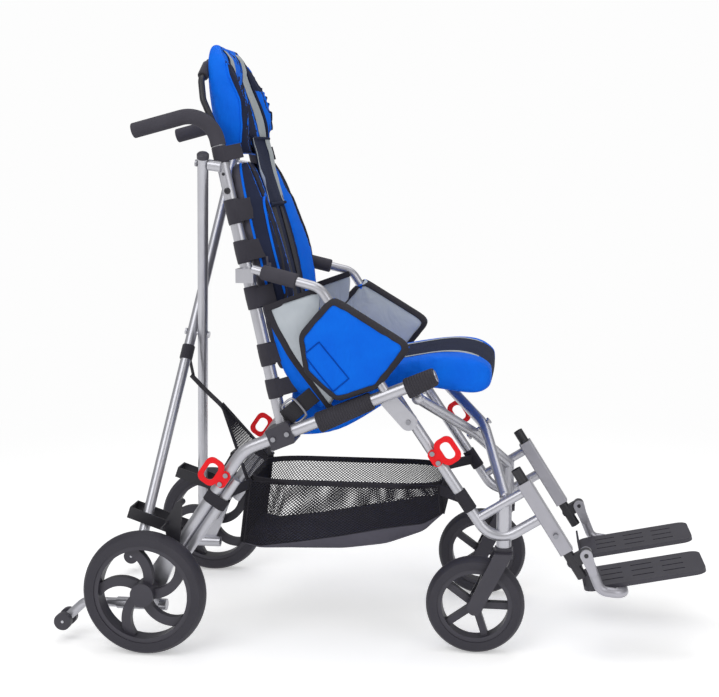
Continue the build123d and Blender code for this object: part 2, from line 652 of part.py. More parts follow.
# Caster fork: stem, crown, two plates beside the wheel and its axle
fork_inner = max(FRONT_HUB_WIDTH, FRONT_TYRE_WIDTH) / 2 + FORK_SIDE_GAP
fork_outer = fork_inner + FORK_PLATE
crown_top = HOUSING_BOTTOM - RUN
crown_bottom = crown_top - CROWN_HEIGHT
crown_base = caster_axis + Vector(0, 0, crown_bottom)
with BuildPart() as caster_fork:
    rod(crown_base, stem_top - Vector(0, 0, RUN), STEM_RADIUS)
    with BuildSketch(Plane(origin=crown_base)):
        Circle(CROWN_RADIUS)
    extrude(amount=CROWN_HEIGHT)
    with BuildSketch(Plane(origin=crown_base)):
        RectangleRounded(2 * CROWN_RADIUS, 2 * fork_outer, CLAMP_WALL)
    extrude(amount=CROWN_HEIGHT / 2)
    for plate_side in (-CASTER_Y + fork_outer, -CASTER_Y - fork_inner):
        with BuildSketch(side_plane(front_hub, plate_side)):
            Circle(FRONT_HUB_RADIUS - WALL)
            with Locations((CASTER_TRAIL - WALL, crown_bottom + CROWN_HEIGHT / 4 - FRONT_WHEEL_RADIUS)):
                Rectangle(2 * CROWN_RADIUS - CLAMP_WALL, CROWN_HEIGHT / 2)
            make_hull()
        extrude(amount=FORK_PLATE)
    axle_ends = [across(front_hub, -CASTER_Y + reach) for reach in (fork_outer, -fork_outer)]
    rod(axle_ends[0], axle_ends[1], FRONT_AXLE_RADIUS)
write_pair(caster_fork.part, "caster_fork")

# Axle plate saddled on the foot of the leg, with the receiver of the tipping guard
plate_face = -FRAME_Y - TUBE / 2 - PLATE_SIDE
plate_back = plate_face + PLATE_SIDE + PLATE_SADDLE
axle_point = on_leg(0)
brake_pivot = on_leg(BRAKE_ALONG_LEG) + Vector(-LEG_DIR.Z, 0, LEG_DIR.X) * BRAKE_BEHIND_LEG
brake_from_axle = brake_pivot - axle_point
receiver_back = at(RECEIVER_BACK, -RECEIVER_Y, RECEIVER_Z)
receiver_front = at(RECEIVER_FRONT, -RECEIVER_Y, RECEIVER_Z)
with BuildPart() as axle_plate:
    with BuildSketch(side_plane(axle_point, plate_back)):
        Circle(AXLE_EYE_RADIUS)
        with Locations((brake_from_axle.X, brake_from_axle.Z)):
            Circle(BRAKE_EYE_RADIUS)
        with Locations((0, RECEIVER_Z - REAR_WHEEL_RADIUS)):
            Circle(BRAKE_EYE_RADIUS)
        make_hull()
    extrude(amount=plate_back - plate_face)
    rod(receiver_back, receiver_front, RECEIVER_TUBE / 2)
    add(side_core, mode=Mode.SUBTRACT)
    rod(receiver_back, receiver_front, GUARD_TUBE / 2 + RUN, Mode.SUBTRACT)
write_pair(axle_plate.part, "axle_plate")

# Brake lever with its pedal and the rod that bears on the tyre
lever_face = plate_face - RUN
brake_eye = across(brake_pivot, lever_face)
lever_reach = Vector(BRAKE_PEDAL[0], 0, BRAKE_PEDAL[1])
rod_point = across(brake_eye, lever_face - BRAKE_PLATE / 2) + Vector(BRAKE_ROD[0], 0, BRAKE_ROD[1])
with BuildPart() as brake_lever:
    with BuildSketch(side_plane(brake_eye, lever_face)):
        Circle(BRAKE_EYE_RADIUS)
        with Locations(BRAKE_PEDAL):
            Circle(BRAKE_EYE_RADIUS / 2)
        with Locations(BRAKE_ROD):
            Circle(2 * BRAKE_ROD_RADIUS)
        make_hull()
        Circle(PIN_RADIUS + RUN, mode=Mode.SUBTRACT)
    extrude(amount=BRAKE_PLATE)
    rod(rod_point, across(rod_point, -REAR_WHEEL_Y - REAR_TYRE_WIDTH / 4), BRAKE_ROD_RADIUS)
    pedal_middle = across(brake_eye + lever_reach, lever_face - BRAKE_PLATE / 2)
    pedal_half = Vector(0, 2 * BRAKE_EYE_RADIUS, 0)
    rod(pedal_middle, pedal_middle + pedal_half, BRAKE_EYE_RADIUS / 2)
write_pair(brake_lever.part, "brake_lever")

# Tipping guard: bar in its receiver, with twin rollers at the bent end
roller_centre = at(ROLLER_AHEAD, -RECEIVER_Y, ROLLER_Z)
guard_points = (receiver_front, at(GUARD_BEND_AHEAD, -RECEIVER_Y, RECEIVER_Z), roller_centre)
roller_near = GUARD_TUBE / 2 + RUN
roller_far = roller_near + ROLLER_WIDTH
with BuildPart() as antitip_bar:
    add(bent_tube(guard_points, GUARD_BEND, GUARD_TUBE))
    ball(roller_centre, GUARD_TUBE / 2)
    rod(
        across(roller_centre, -RECEIVER_Y - roller_far),
        across(roller_centre, -RECEIVER_Y + roller_far),
        ROLLER_PIN_RADIUS,
    )
write_pair(antitip_bar.part, "antitip_bar")

with BuildPart() as antitip_rollers:
    for roller_side in (-RECEIVER_Y + roller_far, -RECEIVER_Y - roller_near):
        with BuildSketch(side_plane(roller_centre, roller_side)):
            Circle(ROLLER_RADIUS)
            Circle(ROLLER_PIN_RADIUS + RUN, mode=Mode.SUBTRACT)
        extrude(amount=ROLLER_WIDTH)
write_pair(antitip_rollers.part, "antitip_rollers")


# Tie-down loops: flat rings with a bolted tab, behind the leg and ahead of the front leg
def tie_down(middle, along, ring_side, face):
    """Loop plate whose tab lies along a tube and whose ring stands to one side of it."""
    with BuildPart() as loop:
        with BuildSketch(side_plane(middle, face, along)):
            with Locations((0, ring_side * LOOP_OFFSET)):
                RectangleRounded(LOOP_LENGTH, LOOP_WIDTH, LOOP_CORNER)
            RectangleRounded(LOOP_TAB, LOOP_TAB_WIDTH, LOOP_STROKE)
            with Locations((0, ring_side * LOOP_OFFSET)):
                RectangleRounded(
                    LOOP_LENGTH - 2 * LOOP_STROKE,
                    LOOP_WIDTH - 2 * LOOP_STROKE,
                    LOOP_STROKE,
                    mode=Mode.SUBTRACT,
                )
        extrude(amount=LOOP_PLATE)
    return loop.part


rear_loop_face = -FRAME_Y - TUBE / 2 - FIT
front_loop_face = -FRONT_LEG_Y - THIN_TUBE / 2 - FIT
rear_loop_middle = on_leg(REAR_LOOP_ALONG_LEG)
front_loop_middle = on_front_leg(FRONT_LOOP_ALONG_LEG)
with BuildPart() as tie_downs:
    add(tie_down(rear_loop_middle, LEG_DIR, 1, rear_loop_face))
    add(tie_down(front_loop_middle, FRONT_LEG_DIR, 1, front_loop_face))
write_pair(tie_downs.part, "tie_downs")

# Armrest: clamp on the cane, tube forward and down to the rail, and its foam pad
clamp_on_cane = cane_foot + cane_dir * ARM_CLAMP_ALONG_CANE
arm_start = clamp_on_cane + Vector(*ARM_START)
arm_bend = arm_start + Vector(*ARM_REACH)
arm_foot = on_rail(ARM_ALONG_RAIL)
arm_route = (arm_start, arm_bend, arm_foot)
arm_core = bent_tube(arm_route, ARM_BEND, ARM_TUBE + 2 * FIT)
with BuildPart() as armrest:
    add(bent_tube(arm_route, ARM_BEND, ARM_TUBE))
    with Locations(clamp_on_cane - Vector(0, ARM_CLAMP[1] / 2, 0)):
        Box(*ARM_CLAMP)
    add(cane_core, mode=Mode.SUBTRACT)
    add(side_core, mode=Mode.SUBTRACT)
write_pair(armrest.part, "armrest")

arm_run = arm_bend - arm_start
with BuildPart() as arm_pad:
    rod(arm_start + arm_run * ARM_PAD_SPAN[0], arm_start + arm_run * ARM_PAD_SPAN[1], ARM_PAD_OUTER / 2)
    fillet(arm_pad.edges().filter_by(GeomType.CIRCLE), CLAMP_WALL)
    add(arm_core, mode=Mode.SUBTRACT)
    add(armrest.part, mode=Mode.SUBTRACT)
write_pair(arm_pad.part, "arm_pad")

# Padded side wing that stands on the rail and wraps the front post of the armrest
wing_ahead = sum(point[0] for point in WING_OUTLINE) / len(WING_OUTLINE)
wing_height = sum(point[1] for point in WING_OUTLINE) / len(WING_OUTLINE)
wing_middle = cane_foot + Vector(wing_ahead, 0, wing_height)
with BuildPart() as wing:
    for wing_side, share in ((WING_HALF_THICK, WING_DRAW_IN), (0, 1), (-WING_HALF_THICK, WING_DRAW_IN)):
        corners = [((x - wing_ahead) * share, (z - wing_height) * share) for x, z in WING_OUTLINE]
        with BuildSketch(side_plane(wing_middle, -FRAME_Y + wing_side)) as outline:
            Polygon(*corners, align=None)
            fillet(outline.vertices(), WING_CORNER)
    loft()
    add(arm_core, mode=Mode.SUBTRACT)
write_pair(wing.part, "wing")

# Rear scissor brace: two crossed tubes on the bosses of the canes
brace_axis_a = across(brace_low, BRACE_PIVOT_Y) - brace_top
brace_dir_a = brace_axis_a.normalized()
brace_cross = brace_top + brace_axis_a / 2
bolt_half = BRACE_OFFSET + THIN_TUBE / 2


def rear_brace(offset, pin_clearance):
    """Brace from the right cane to the left link, set off along the normal of the scissor."""
    shift = brace_normal * offset
    top_end = brace_top - brace_dir_a * BRACE_TOP_OVERHANG + shift
    low_end = brace_top + brace_axis_a + brace_dir_a * BRACE_LOW_OVERHANG + shift
    with BuildPart() as brace:
        add(bent_tube((top_end, low_end), 0, THIN_TUBE, WALL))
        for pivot, clearance in ((brace_top, RUN), (brace_cross, pin_clearance)):
            start = pivot + shift - brace_normal * THIN_TUBE
            rod(start, start + brace_normal * (2 * THIN_TUBE), PIN_RADIUS + clearance, Mode.SUBTRACT)
    return brace.part


brace_a = rear_brace(BRACE_OFFSET, FIT)
with BuildPart() as rear_brace_a:
    add(brace_a)
    bolt_front = brace_cross + brace_normal * bolt_half
    bolt_back = brace_cross - brace_normal * (bolt_half + RUN)
    rod(bolt_front, bolt_back, PIN_RADIUS)
    rod(bolt_front, bolt_front + brace_normal * PIN_HEAD, PIN_HEAD_RADIUS)
    rod(bolt_back, bolt_back - brace_normal * PIN_HEAD, PIN_HEAD_RADIUS)
write(rear_brace_a.part, "rear_brace_a")
with BuildPart() as rear_brace_b:
    mirror(rear_brace(-BRACE_OFFSET, RUN), about=Plane.XZ)
write(rear_brace_b.part, "rear_brace_b")

# Links from the legs to the lower ends of the rear brace
link_pivot = across(on_leg(LINK_ALONG_LEG), 0)
link_dir = (across(brace_low, 0) - link_pivot).normalized()
with BuildPart() as rear_link:
    for link_side in (-BRACE_PIVOT_Y + LINK_HALF_GAP + LINK_PLATE, -BRACE_PIVOT_Y - LINK_HALF_GAP):
        with BuildSketch(side_plane(link_pivot, link_side, link_dir)):
            Circle(LINK_EYE_RADIUS)
            with Locations(((LINK_LENGTH + LINK_PLATE) / 2, 0)):
                Rectangle(LINK_LENGTH + LINK_PLATE, 2 * LINK_HALF_HEIGHT)
            Circle(PIN_RADIUS + RUN, mode=Mode.SUBTRACT)
        extrude(amount=LINK_PLATE)
    with BuildSketch(side_plane(link_pivot, -BRACE_PIVOT_Y + LINK_HALF_GAP, link_dir)):
        with Locations((LINK_LENGTH + LINK_PLATE / 2, 0)):
            Rectangle(LINK_PLATE, 2 * LINK_HALF_HEIGHT)
        with Locations((LINK_RIVET_ALONG, 0)):
            Circle(PIN_RADIUS)
    extrude(amount=2 * LINK_HALF_GAP)
write_pair(rear_link.part, "rear_link")

# Front scissor brace: two bowed tubes with ball ends, crossed on a bolt
low_left = across(low_right, FRONT_LOW[1])
top_right = at(FRONT_LEG_TOP.X + FRONT_TOP[0], -FRONT_TOP[1], FRONT_LEG_TOP.Z + FRONT_TOP[2])
top_left = across(top_right, FRONT_TOP[1])
front_rise = (across(top_right, 0) - across(low_right, 0)).normalized()
front_normal = Vector(front_rise.Z, 0, -front_rise.X)
front_share = FRONT_LOW[1] / (FRONT_LOW[1] + FRONT_TOP[1])
front_straight = low_right + (top_right - low_right) * front_share
front_cross = across(front_straight, 0) + Vector(FRONT_BOW[0], 0, FRONT_BOW[1])


def front_brace(offset, pin_clearance):
    """Bowed brace from the lower right ball to the upper left one."""
    bend = front_cross + front_normal * offset
    with BuildPart() as brace:
        add(bent_tube((low_right, bend, top_left), FRONT_BRACE_BEND, THIN_TUBE))
        ball(low_right, LOW_BALL_RADIUS, bend - low_right)
        ball(top_left, TOP_BALL_RADIUS, top_left - bend)
        start = bend - front_normal * THIN_TUBE
        rod(start, start + front_normal * (2 * THIN_TUBE), PIN_RADIUS + pin_clearance, Mode.SUBTRACT)
    return brace.part


brace_d = front_brace(FRONT_OFFSET, FIT)
with BuildPart() as front_brace_d:
    add(brace_d)
    front_bolt = front_cross + front_normal * (FRONT_OFFSET + THIN_TUBE / 2)
    front_nut = front_cross - front_normal * (FRONT_OFFSET + THIN_TUBE / 2 + NUT_PLAY)
    rod(front_bolt, front_nut, PIN_RADIUS)
    rod(front_bolt, front_bolt + front_normal * PIN_HEAD, PIN_HEAD_RADIUS)
    rod(front_nut, front_nut - front_normal * PIN_HEAD, PIN_HEAD_RADIUS)
write(front_brace_d.part, "front_brace_d")
with BuildPart() as front_brace_c:
    mirror(front_brace(-FRONT_OFFSET, RUN), about=Plane.XZ)
write(front_brace_c.part, "front_brace_c")

# Head rod from the right cane to the back of the head pad
rod_shift = Vector(0, HEAD_ROD_OFFSET, 0)
rod_straight = [cane_bend - cane_dir * run + rod_shift for run in HEAD_ROD_BELOW_BEND]
rod_bends = [across(cane_bend + Vector(ahead, 0, rise), y) for ahead, y, rise in HEAD_ROD_POINTS]
rod_points = rod_straight + rod_bends
rod_clamp = (rod_straight[0] + rod_straight[1]) / 2 - rod_shift / 2
head_rod_seat = bent_tube(rod_points, HEAD_ROD_BEND, HEAD_ROD + 2 * RUN)
with BuildPart() as head_rod:
    add(bent_tube(rod_points, HEAD_ROD_BEND, HEAD_ROD))
    ball(rod_points[-1], HEAD_ROD / 2)
    with Locations(rod_clamp - cane_dir * (2 * HEAD_ROD)):
        Box(HEAD_ROD, HEAD_ROD_OFFSET, HEAD_ROD)
    add(cane_core, mode=Mode.SUBTRACT)
write(head_rod.part, "head_rod")


# Fasteners of one side, as separate solids
def fasteners(boss_face):
    """Axle, pins, screws and caps of the right side, for a brace boss with a given face."""
    pin_face = boss_face - THIN_TUBE - 2 * RUN
    with BuildPart() as group:
        rod(across(axle_point, plate_face), across(stub_end, stub_end.Y + RUN), STUB_AXLE_RADIUS)
        rod(across(brake_eye, plate_face), across(brake_eye, lever_face - BRAKE_PLATE - RUN), PIN_RADIUS)
        head_face = lever_face - BRAKE_PLATE - RUN
        rod(across(brake_eye, head_face), across(brake_eye, head_face - PIN_HEAD), PIN_HEAD_RADIUS)
        rod(brace_top + brace_normal * boss_face, brace_top + brace_normal * pin_face, PIN_RADIUS)
        pin_head = brace_top + brace_normal * pin_face
        rod(pin_head, pin_head - brace_normal * PIN_HEAD, PIN_HEAD_RADIUS)
        link_outer = -FRAME_Y + TUBE / 2 + FIT
        link_inner = -BRACE_PIVOT_Y + LINK_HALF_GAP + LINK_PLATE + RUN
        rod(across(link_pivot, link_outer), across(link_pivot, link_inner), PIN_RADIUS)
        rod(across(link_pivot, link_inner), across(link_pivot, link_inner + PIN_HEAD), PIN_HEAD_RADIUS)
        sleeve_face = -FRONT_LEG_Y - SLEEVE_SIZE / 2
        knob = across(on_hanger(-SLEEVE_BELOW / 2), sleeve_face)
        rod(knob, across(knob, sleeve_face - 2 * PIN_HEAD), SCREW_RADIUS)
        for middle, along, face in (
            (rear_loop_middle, LEG_DIR, rear_loop_face),
            (front_loop_middle, FRONT_LEG_DIR, front_loop_face),
        ):
            for step in (-0.5, 0.5):
                screw = across(middle + along * (step * LOOP_BOLT_SPACING), face - LOOP_PLATE)
                rod(screw, across(screw, screw.Y - SCREW_HEAD), SCREW_RADIUS)
        for step in (-0.5, 0.5):
            screw = across(clamp_middle + RAIL_DIR * (step * CLAMP_SCREW_SPACING), clamp_outer)
            rod(screw, across(screw, screw.Y - SCREW_HEAD), SCREW_RADIUS)
        screw = across(bracket_plane.origin + Vector(BRACKET_DOWN[0], 0, BRACKET_DOWN[1]), bracket_outer)
        rod(screw, across(screw, screw.Y - SCREW_HEAD), SCREW_RADIUS)
    return group.part


write(fasteners(near_face), "right_fasteners")
write(mirror(fasteners(far_face), about=Plane.XZ), "left_fasteners")

# Seat pad: crowned, drawn in between its corners, with a rolled front edge
seat_base = across(cane_foot, 0)


def seat_plane(ahead):
    """Plane across the seat, at a distance ahead of the cane feet."""
    return Plane(origin=seat_base + Vector(ahead, 0, 0), x_dir=(0, 1, 0), z_dir=(1, 0, 0))


seat_rows = [
    (seat_plane(ahead), half, low, high, belly, crown)
    for ahead, low, high, half, belly, crown in SEAT_ROWS
]
seat_pad = padded(seat_rows)
write(seat_pad, "seat_pad")

# Back pad: hollowed for the back, lying against the canes
cane_lean = Vector(-CANE_BACK, 0, CANE_RISE).normalized()
cane_middle = across(cane_foot, 0)


def back_plane(run):
    """Plane square to the lean of the canes, at a distance up from their feet."""
    return Plane(origin=cane_middle + cane_lean * run, x_dir=(0, 1, 0), z_dir=cane_lean)


back_rows = [
    (back_plane(share * cane_length), half, -front, -rear, -hollow, crown)
    for share, rear, front, half, crown, hollow in BACK_ROWS
]
with BuildPart() as back_pad:
    add(padded(back_rows))
    add(cane_seat, mode=Mode.SUBTRACT)
    add(mirror(cane_seat, about=Plane.XZ), mode=Mode.SUBTRACT)
write(back_pad.part, "back_pad")

# Head pad: winged, hollowed for the head, carried by the head rod
head_base = across(cane_bend, 0)


def head_plane(rise):
    """Level plane at a height above the bend of the canes."""
    return Plane(origin=head_base + Vector(0, 0, rise), x_dir=(0, 1, 0), z_dir=(0, 0, 1))


head_rows = [
    (head_plane(rise), half, -front, -rear, -hollow, crown)
    for rise, rear, front, half, crown, hollow in HEAD_ROWS
]
with BuildPart() as head_pad:
    add(padded(head_rows))
    add(head_rod_seat, mode=Mode.SUBTRACT)
    ball(rod_points[-1], HEAD_ROD / 2 + RUN, mode=Mode.SUBTRACT)
write(head_pad.part, "head_pad")

# Basket: open fabric tray that hangs by four tabs from the rear and front legs
basket_inner = BASKET_HALF_WIDTH - BASKET_WALL
tab_thick, tab_height = BASKET_TAB
tab_middle = BASKET_TAB_LOW + tab_height / 2
rear_tab_leg = on_leg((tab_middle - REAR_WHEEL_RADIUS) / LEG_DIR.Z)
front_tab_leg = on_front_leg((tab_middle - on_front_leg(0).Z) / FRONT_LEG_DIR.Z)
tab_legs = ((-1, rear_tab_leg, FRAME_Y, TUBE), (1, front_tab_leg, FRONT_LEG_Y, THIN_TUBE))
with BuildPart() as basket:
    with BuildSketch(side_plane(at(0, 0, 0), BASKET_HALF_WIDTH)):
        Polygon(*BASKET_OUTLINE, align=None)
    extrude(amount=2 * BASKET_HALF_WIDTH)
    basket_top = basket.faces().sort_by(Axis.Z)[-1]
    rim_length = basket_top.bounding_box().size.X
    rim_middle = basket_top.center()
    offset(amount=-BASKET_WALL, openings=basket_top)
    with BuildSketch(Plane(origin=rim_middle - Vector(0, 0, BASKET_HEM))):
        Rectangle(rim_length + 2 * BASKET_HEM_STAND, 2 * (BASKET_HALF_WIDTH + BASKET_HEM_STAND))
        Rectangle(rim_length - 2 * BASKET_HEM, 2 * basket_inner, mode=Mode.SUBTRACT)
    extrude(amount=BASKET_HEM)
    for tab_side in (-1, 1):
        corner_y = tab_side * (BASKET_HALF_WIDTH - BASKET_WALL / 2)
        for end_share, leg_point, leg_y, leg_tube in tab_legs:
            corner = Vector(rim_middle.X + end_share * (rim_length / 2 - tab_thick), corner_y, tab_middle)
            tab_reach = leg_y - leg_tube / 2 + tab_thick / 2
            tab_end = Vector(leg_point.X, tab_side * tab_reach, tab_middle)
            with Locations(Plane(origin=(corner + tab_end) / 2, x_dir=tab_end - corner, z_dir=(0, 0, 1))):
                Box((tab_end - corner).length, tab_thick, tab_height)
        rear_ends = [across(on_leg(run), tab_side * FRAME_Y) for run in (0, LEG_LENGTH)]
        rod(*rear_ends, TUBE / 2 + RUN, Mode.SUBTRACT)
        front_ends = [across(on_front_leg(run), tab_side * FRONT_LEG_Y) for run in (0, FRONT_LEG_LENGTH)]
        rod(*front_ends, THIN_TUBE / 2 + RUN, Mode.SUBTRACT)
write(basket.part, "basket")
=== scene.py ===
"""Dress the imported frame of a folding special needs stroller.

The frame's solids keep their places and get their finishes. The seat, back, head support, side wings and
basket are replaced by sewn and padded pieces, and straps, bands, sleeves and caps go where they are carried.
"""

from __future__ import annotations

import json
import logging
import math
from collections.abc import Callable, Iterable, Sequence
from dataclasses import dataclass
from enum import Enum

import bmesh
import bpy
from mathutils import Matrix, Vector
from mathutils.bvhtree import BVHTree

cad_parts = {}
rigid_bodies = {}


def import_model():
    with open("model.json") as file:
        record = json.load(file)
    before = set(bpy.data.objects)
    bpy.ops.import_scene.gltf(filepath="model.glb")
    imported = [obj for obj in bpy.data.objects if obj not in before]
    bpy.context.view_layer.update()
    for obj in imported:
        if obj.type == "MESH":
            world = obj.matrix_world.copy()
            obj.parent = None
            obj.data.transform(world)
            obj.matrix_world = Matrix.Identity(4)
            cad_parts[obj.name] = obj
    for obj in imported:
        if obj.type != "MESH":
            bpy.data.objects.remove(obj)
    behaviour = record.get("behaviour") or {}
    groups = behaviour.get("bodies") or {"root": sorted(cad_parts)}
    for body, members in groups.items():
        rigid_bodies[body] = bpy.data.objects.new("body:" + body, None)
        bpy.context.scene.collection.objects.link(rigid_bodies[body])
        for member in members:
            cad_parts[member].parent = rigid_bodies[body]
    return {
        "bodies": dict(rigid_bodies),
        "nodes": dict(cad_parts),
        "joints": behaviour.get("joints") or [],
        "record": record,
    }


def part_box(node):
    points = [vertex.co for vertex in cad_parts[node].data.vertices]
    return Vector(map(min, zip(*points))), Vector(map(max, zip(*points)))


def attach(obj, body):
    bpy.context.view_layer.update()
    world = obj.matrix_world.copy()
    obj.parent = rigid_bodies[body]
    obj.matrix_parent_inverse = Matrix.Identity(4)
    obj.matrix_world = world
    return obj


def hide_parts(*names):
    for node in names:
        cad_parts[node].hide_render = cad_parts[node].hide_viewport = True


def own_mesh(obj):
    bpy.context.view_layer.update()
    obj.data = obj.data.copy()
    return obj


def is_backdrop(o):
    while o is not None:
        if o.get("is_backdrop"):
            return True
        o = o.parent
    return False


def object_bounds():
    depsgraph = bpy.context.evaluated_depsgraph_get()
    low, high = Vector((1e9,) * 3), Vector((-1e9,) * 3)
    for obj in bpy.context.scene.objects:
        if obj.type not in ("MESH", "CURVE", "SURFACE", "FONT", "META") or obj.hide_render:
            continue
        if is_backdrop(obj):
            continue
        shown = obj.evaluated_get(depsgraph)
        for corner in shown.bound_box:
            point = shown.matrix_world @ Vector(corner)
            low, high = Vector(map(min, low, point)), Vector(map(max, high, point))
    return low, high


Material = bpy.types.Material
Piece = bpy.types.Object
Shape = bmesh.types.BMesh
Socket = bpy.types.NodeSocket
Tree = bpy.types.NodeTree
Laid = list[tuple[Vector, Vector]]
Ray = tuple[Vector, Vector]
Rows = list[list[Vector]]
Spot = tuple[float, float]
Line = tuple[Spot, ...]

LOG = logging.getLogger("stroller")
MM = 0.001
ROOT_BODY = "right_frame"
AHEAD = Vector((1, 0, 0)).freeze()
UP = Vector((0, 0, 1)).freeze()
WELD_M = 1e-6
SHARP_DEG = 40.0
RAY_M = 0.3
SEAM_MM = 4.0
TAPE_MM = 1.6
TAPE_GAP_MM = 0.4
WEBBING_MM = 2.4
CLEARANCE_MM = 0.1
PIPING_RISE = 0.35
CLOUD_MM = 45.0
CREASES_PER_M = (22.0, 9.0, 14.0)
WEAR = 0.08


class Side(Enum):
    """The two sides of the stroller, by the sign of their Y."""

    RIGHT = -1
    LEFT = 1

    @property
    def prefix(self) -> str:
        """Start of the names of this side's pieces."""
        return self.name.lower()

    @property
    def body(self) -> str:
        """Frame body that carries this side's pieces."""
        return f"{self.prefix}_frame"

    @property
    def out(self) -> Vector:
        """Direction away from the middle of the stroller."""
        return Vector((0, self.value, 0))


class Grain(Enum):
    """How a surface was made, which sets the relief that the eye sees."""

    CLOUDY = "sprayed, cast or moulded relief"
    WOVEN = "two crossing sets of threads"
    RIBBED = "parallel ribs"


def linear(colour: str) -> tuple[float, float, float, float]:
    """Turn an sRGB hex colour to linear light.

    Args:
        colour: Six hex digits.

    Returns:
        Red, green, blue and an alpha of one.
    """
    levels = [int(colour[start : start + 2], 16) / 255 for start in (0, 2, 4)]
    red, green, blue = (c / 12.92 if c <= 0.04045 else ((c + 0.055) / 1.055) ** 2.4 for c in levels)
    return red, green, blue, 1.0


def bare_tree(owner: Material | bpy.types.World) -> Tree:
    """Give the emptied node tree of a material or world.

    Args:
        owner: The material or world.

    Returns:
        Its tree, with no nodes.
    """
    owner.use_nodes = True
    owner.node_tree.nodes.clear()
    return owner.node_tree


def add_node(
    tree: Tree,
    kind: str,
    settings: dict[str | int, object] | None = None,
    links: dict[str | int, Socket] | None = None,
) -> bpy.types.Node:
    """Add a shader node with its settings and links.

    Args:
        tree: Node tree of the material or world.
        kind: Type name of the node, without its start.
        settings: Values by property name, or by the name or index of an input.
        links: Output sockets by the name or index of the input that they feed.

    Returns:
        The new node.
    """
    node = tree.nodes.new(f"ShaderNode{kind}")
    for key, value in (settings or {}).items():
        if isinstance(key, str) and hasattr(node, key):
            setattr(node, key, value)
        else:
            node.inputs[key].default_value = value
    for key, socket in (links or {}).items():
        tree.links.new(socket, node.inputs[key])
    return node


@dataclass(frozen=True)
class Finish:
    """A real finish: its colours, the relief of its surface and its gloss."""

    name: str
    colour: str
    shade: str
    grain: Grain
    pitch_mm: float
    depth_mm: float
    roughness: float
    metallic: float = 0.0
    crease_mm: float = 0.0
    sheen: float = 0.0
    coat: float = 0.0
    specular: float = 0.5
    turn_deg: float = 0.0

    def relief(self, tree: Tree, place: Socket) -> Socket:
        """Add the fine relief of the surface.

        Args:
            tree: Node tree of the material.
            place: Coordinates on the piece.

        Returns:
            Height, from zero to one.
        """
        pitch = self.pitch_mm * MM
        if self.grain is Grain.CLOUDY:
            cloudy = {"Scale": 1 / pitch, "Detail": 2.0, "Roughness": 0.6}
            return add_node(tree, "TexNoise", cloudy, {"Vector": place}).outputs["Fac"]
        turn = {"Rotation": (0.0, math.radians(self.turn_deg), 0.0)}
        turned_place = add_node(tree, "Mapping", turn, {"Vector": place}).outputs["Vector"]
        if self.grain is Grain.RIBBED:
            ribs = {"bands_direction": "X", "Scale": math.pi / 10 / pitch, "Distortion": 0.4}
            return add_node(tree, "TexWave", ribs, {"Vector": turned_place}).outputs["Fac"]
        threads = {}
        for number, flip in enumerate((1.0, -1.0)):
            lean = add_node(tree, "Mapping", {"Scale": (1.0, flip, -flip)}, {"Vector": turned_place})
            wave = {"bands_direction": "DIAGONAL", "Scale": math.pi / 7 / pitch, "Distortion": 0.6}
            band = add_node(tree, "TexWave", wave, {"Vector": lean.outputs["Vector"]})
            threads[number] = band.outputs["Fac"]
        return add_node(tree, "Math", {"operation": "MAXIMUM"}, threads).outputs["Value"]

    def build(self) -> Material:
        """Make the material.

        Returns:
            The finished material.
        """
        material = bpy.data.materials.new(self.name)
        tree = bare_tree(material)
        place = add_node(tree, "TexCoord").outputs["Object"]
        cloud = add_node(tree, "TexNoise", {"Scale": 1 / (CLOUD_MM * MM), "Detail": 4.0}, {"Vector": place})
        relief = self.relief(tree, place)
        tones = {"data_type": "RGBA", 6: linear(self.shade), 7: linear(self.colour)}
        tone = add_node(tree, "Mix", tones, {0: cloud.outputs["Fac"]})
        wear = {"To Min": max(self.roughness - WEAR, 0.05), "To Max": min(self.roughness + WEAR, 1.0)}
        worn = add_node(tree, "MapRange", wear, {"Value": relief})
        bump = add_node(tree, "Bump", {"Distance": self.depth_mm * MM}, {"Height": relief})
        if self.crease_mm:
            stretch = add_node(tree, "Mapping", {"Scale": CREASES_PER_M}, {"Vector": place})
            folds = {"Scale": 1.0, "Detail": 3.0, "Distortion": 0.8}
            crease = add_node(tree, "TexNoise", folds, {"Vector": stretch.outputs["Vector"]})
            links = {"Height": crease.outputs["Fac"], "Normal": bump.outputs["Normal"]}
            bump = add_node(tree, "Bump", {"Distance": self.crease_mm * MM}, links)
        gloss = {
            "Metallic": self.metallic,
            "Sheen Weight": self.sheen,
            "Coat Weight": self.coat,
            "Specular IOR Level": self.specular,
        }
        links = {"Base Color": tone.outputs[2], "Roughness": worn.outputs["Result"]}
        shader = add_node(tree, "BsdfPrincipled", gloss, links | {"Normal": bump.outputs["Normal"]})
        add_node(tree, "OutputMaterial", links={"Surface": shader.outputs["BSDF"]})
        return material


# Silver clear-coated aluminium tube: bright along the top, grey at the edges, with a faint orange peel.
SILVER = Finish("silver_coated_aluminium", "c6c6cc", "b2b2b9", Grain.CLOUDY, 1.6, 0.03, 0.34, 0.75, coat=0.2)
# The hangers' tube is the same coat over a darker alloy.
GREY_ALLOY = Finish("grey_coated_aluminium", "b6b5bc", "a4a3ab", Grain.CLOUDY, 1.6, 0.03, 0.38, 0.7)
# Black powder coat: a soft shine broken by fine peel.
BLACK_COAT = Finish("black_powder_coat", "2c2b31", "222127", Grain.CLOUDY, 1.4, 0.05, 0.42)
# Red powder coat: full colour with a clear shine.
RED_COAT = Finish("red_powder_coat", "ff1420", "ea0f1b", Grain.CLOUDY, 1.8, 0.03, 0.35, specular=0.3)
# Closed-cell foam grip: dull, with pores.
FOAM = Finish("closed_cell_foam", "46444d", "35333c", Grain.CLOUDY, 1.8, 0.22, 0.85)
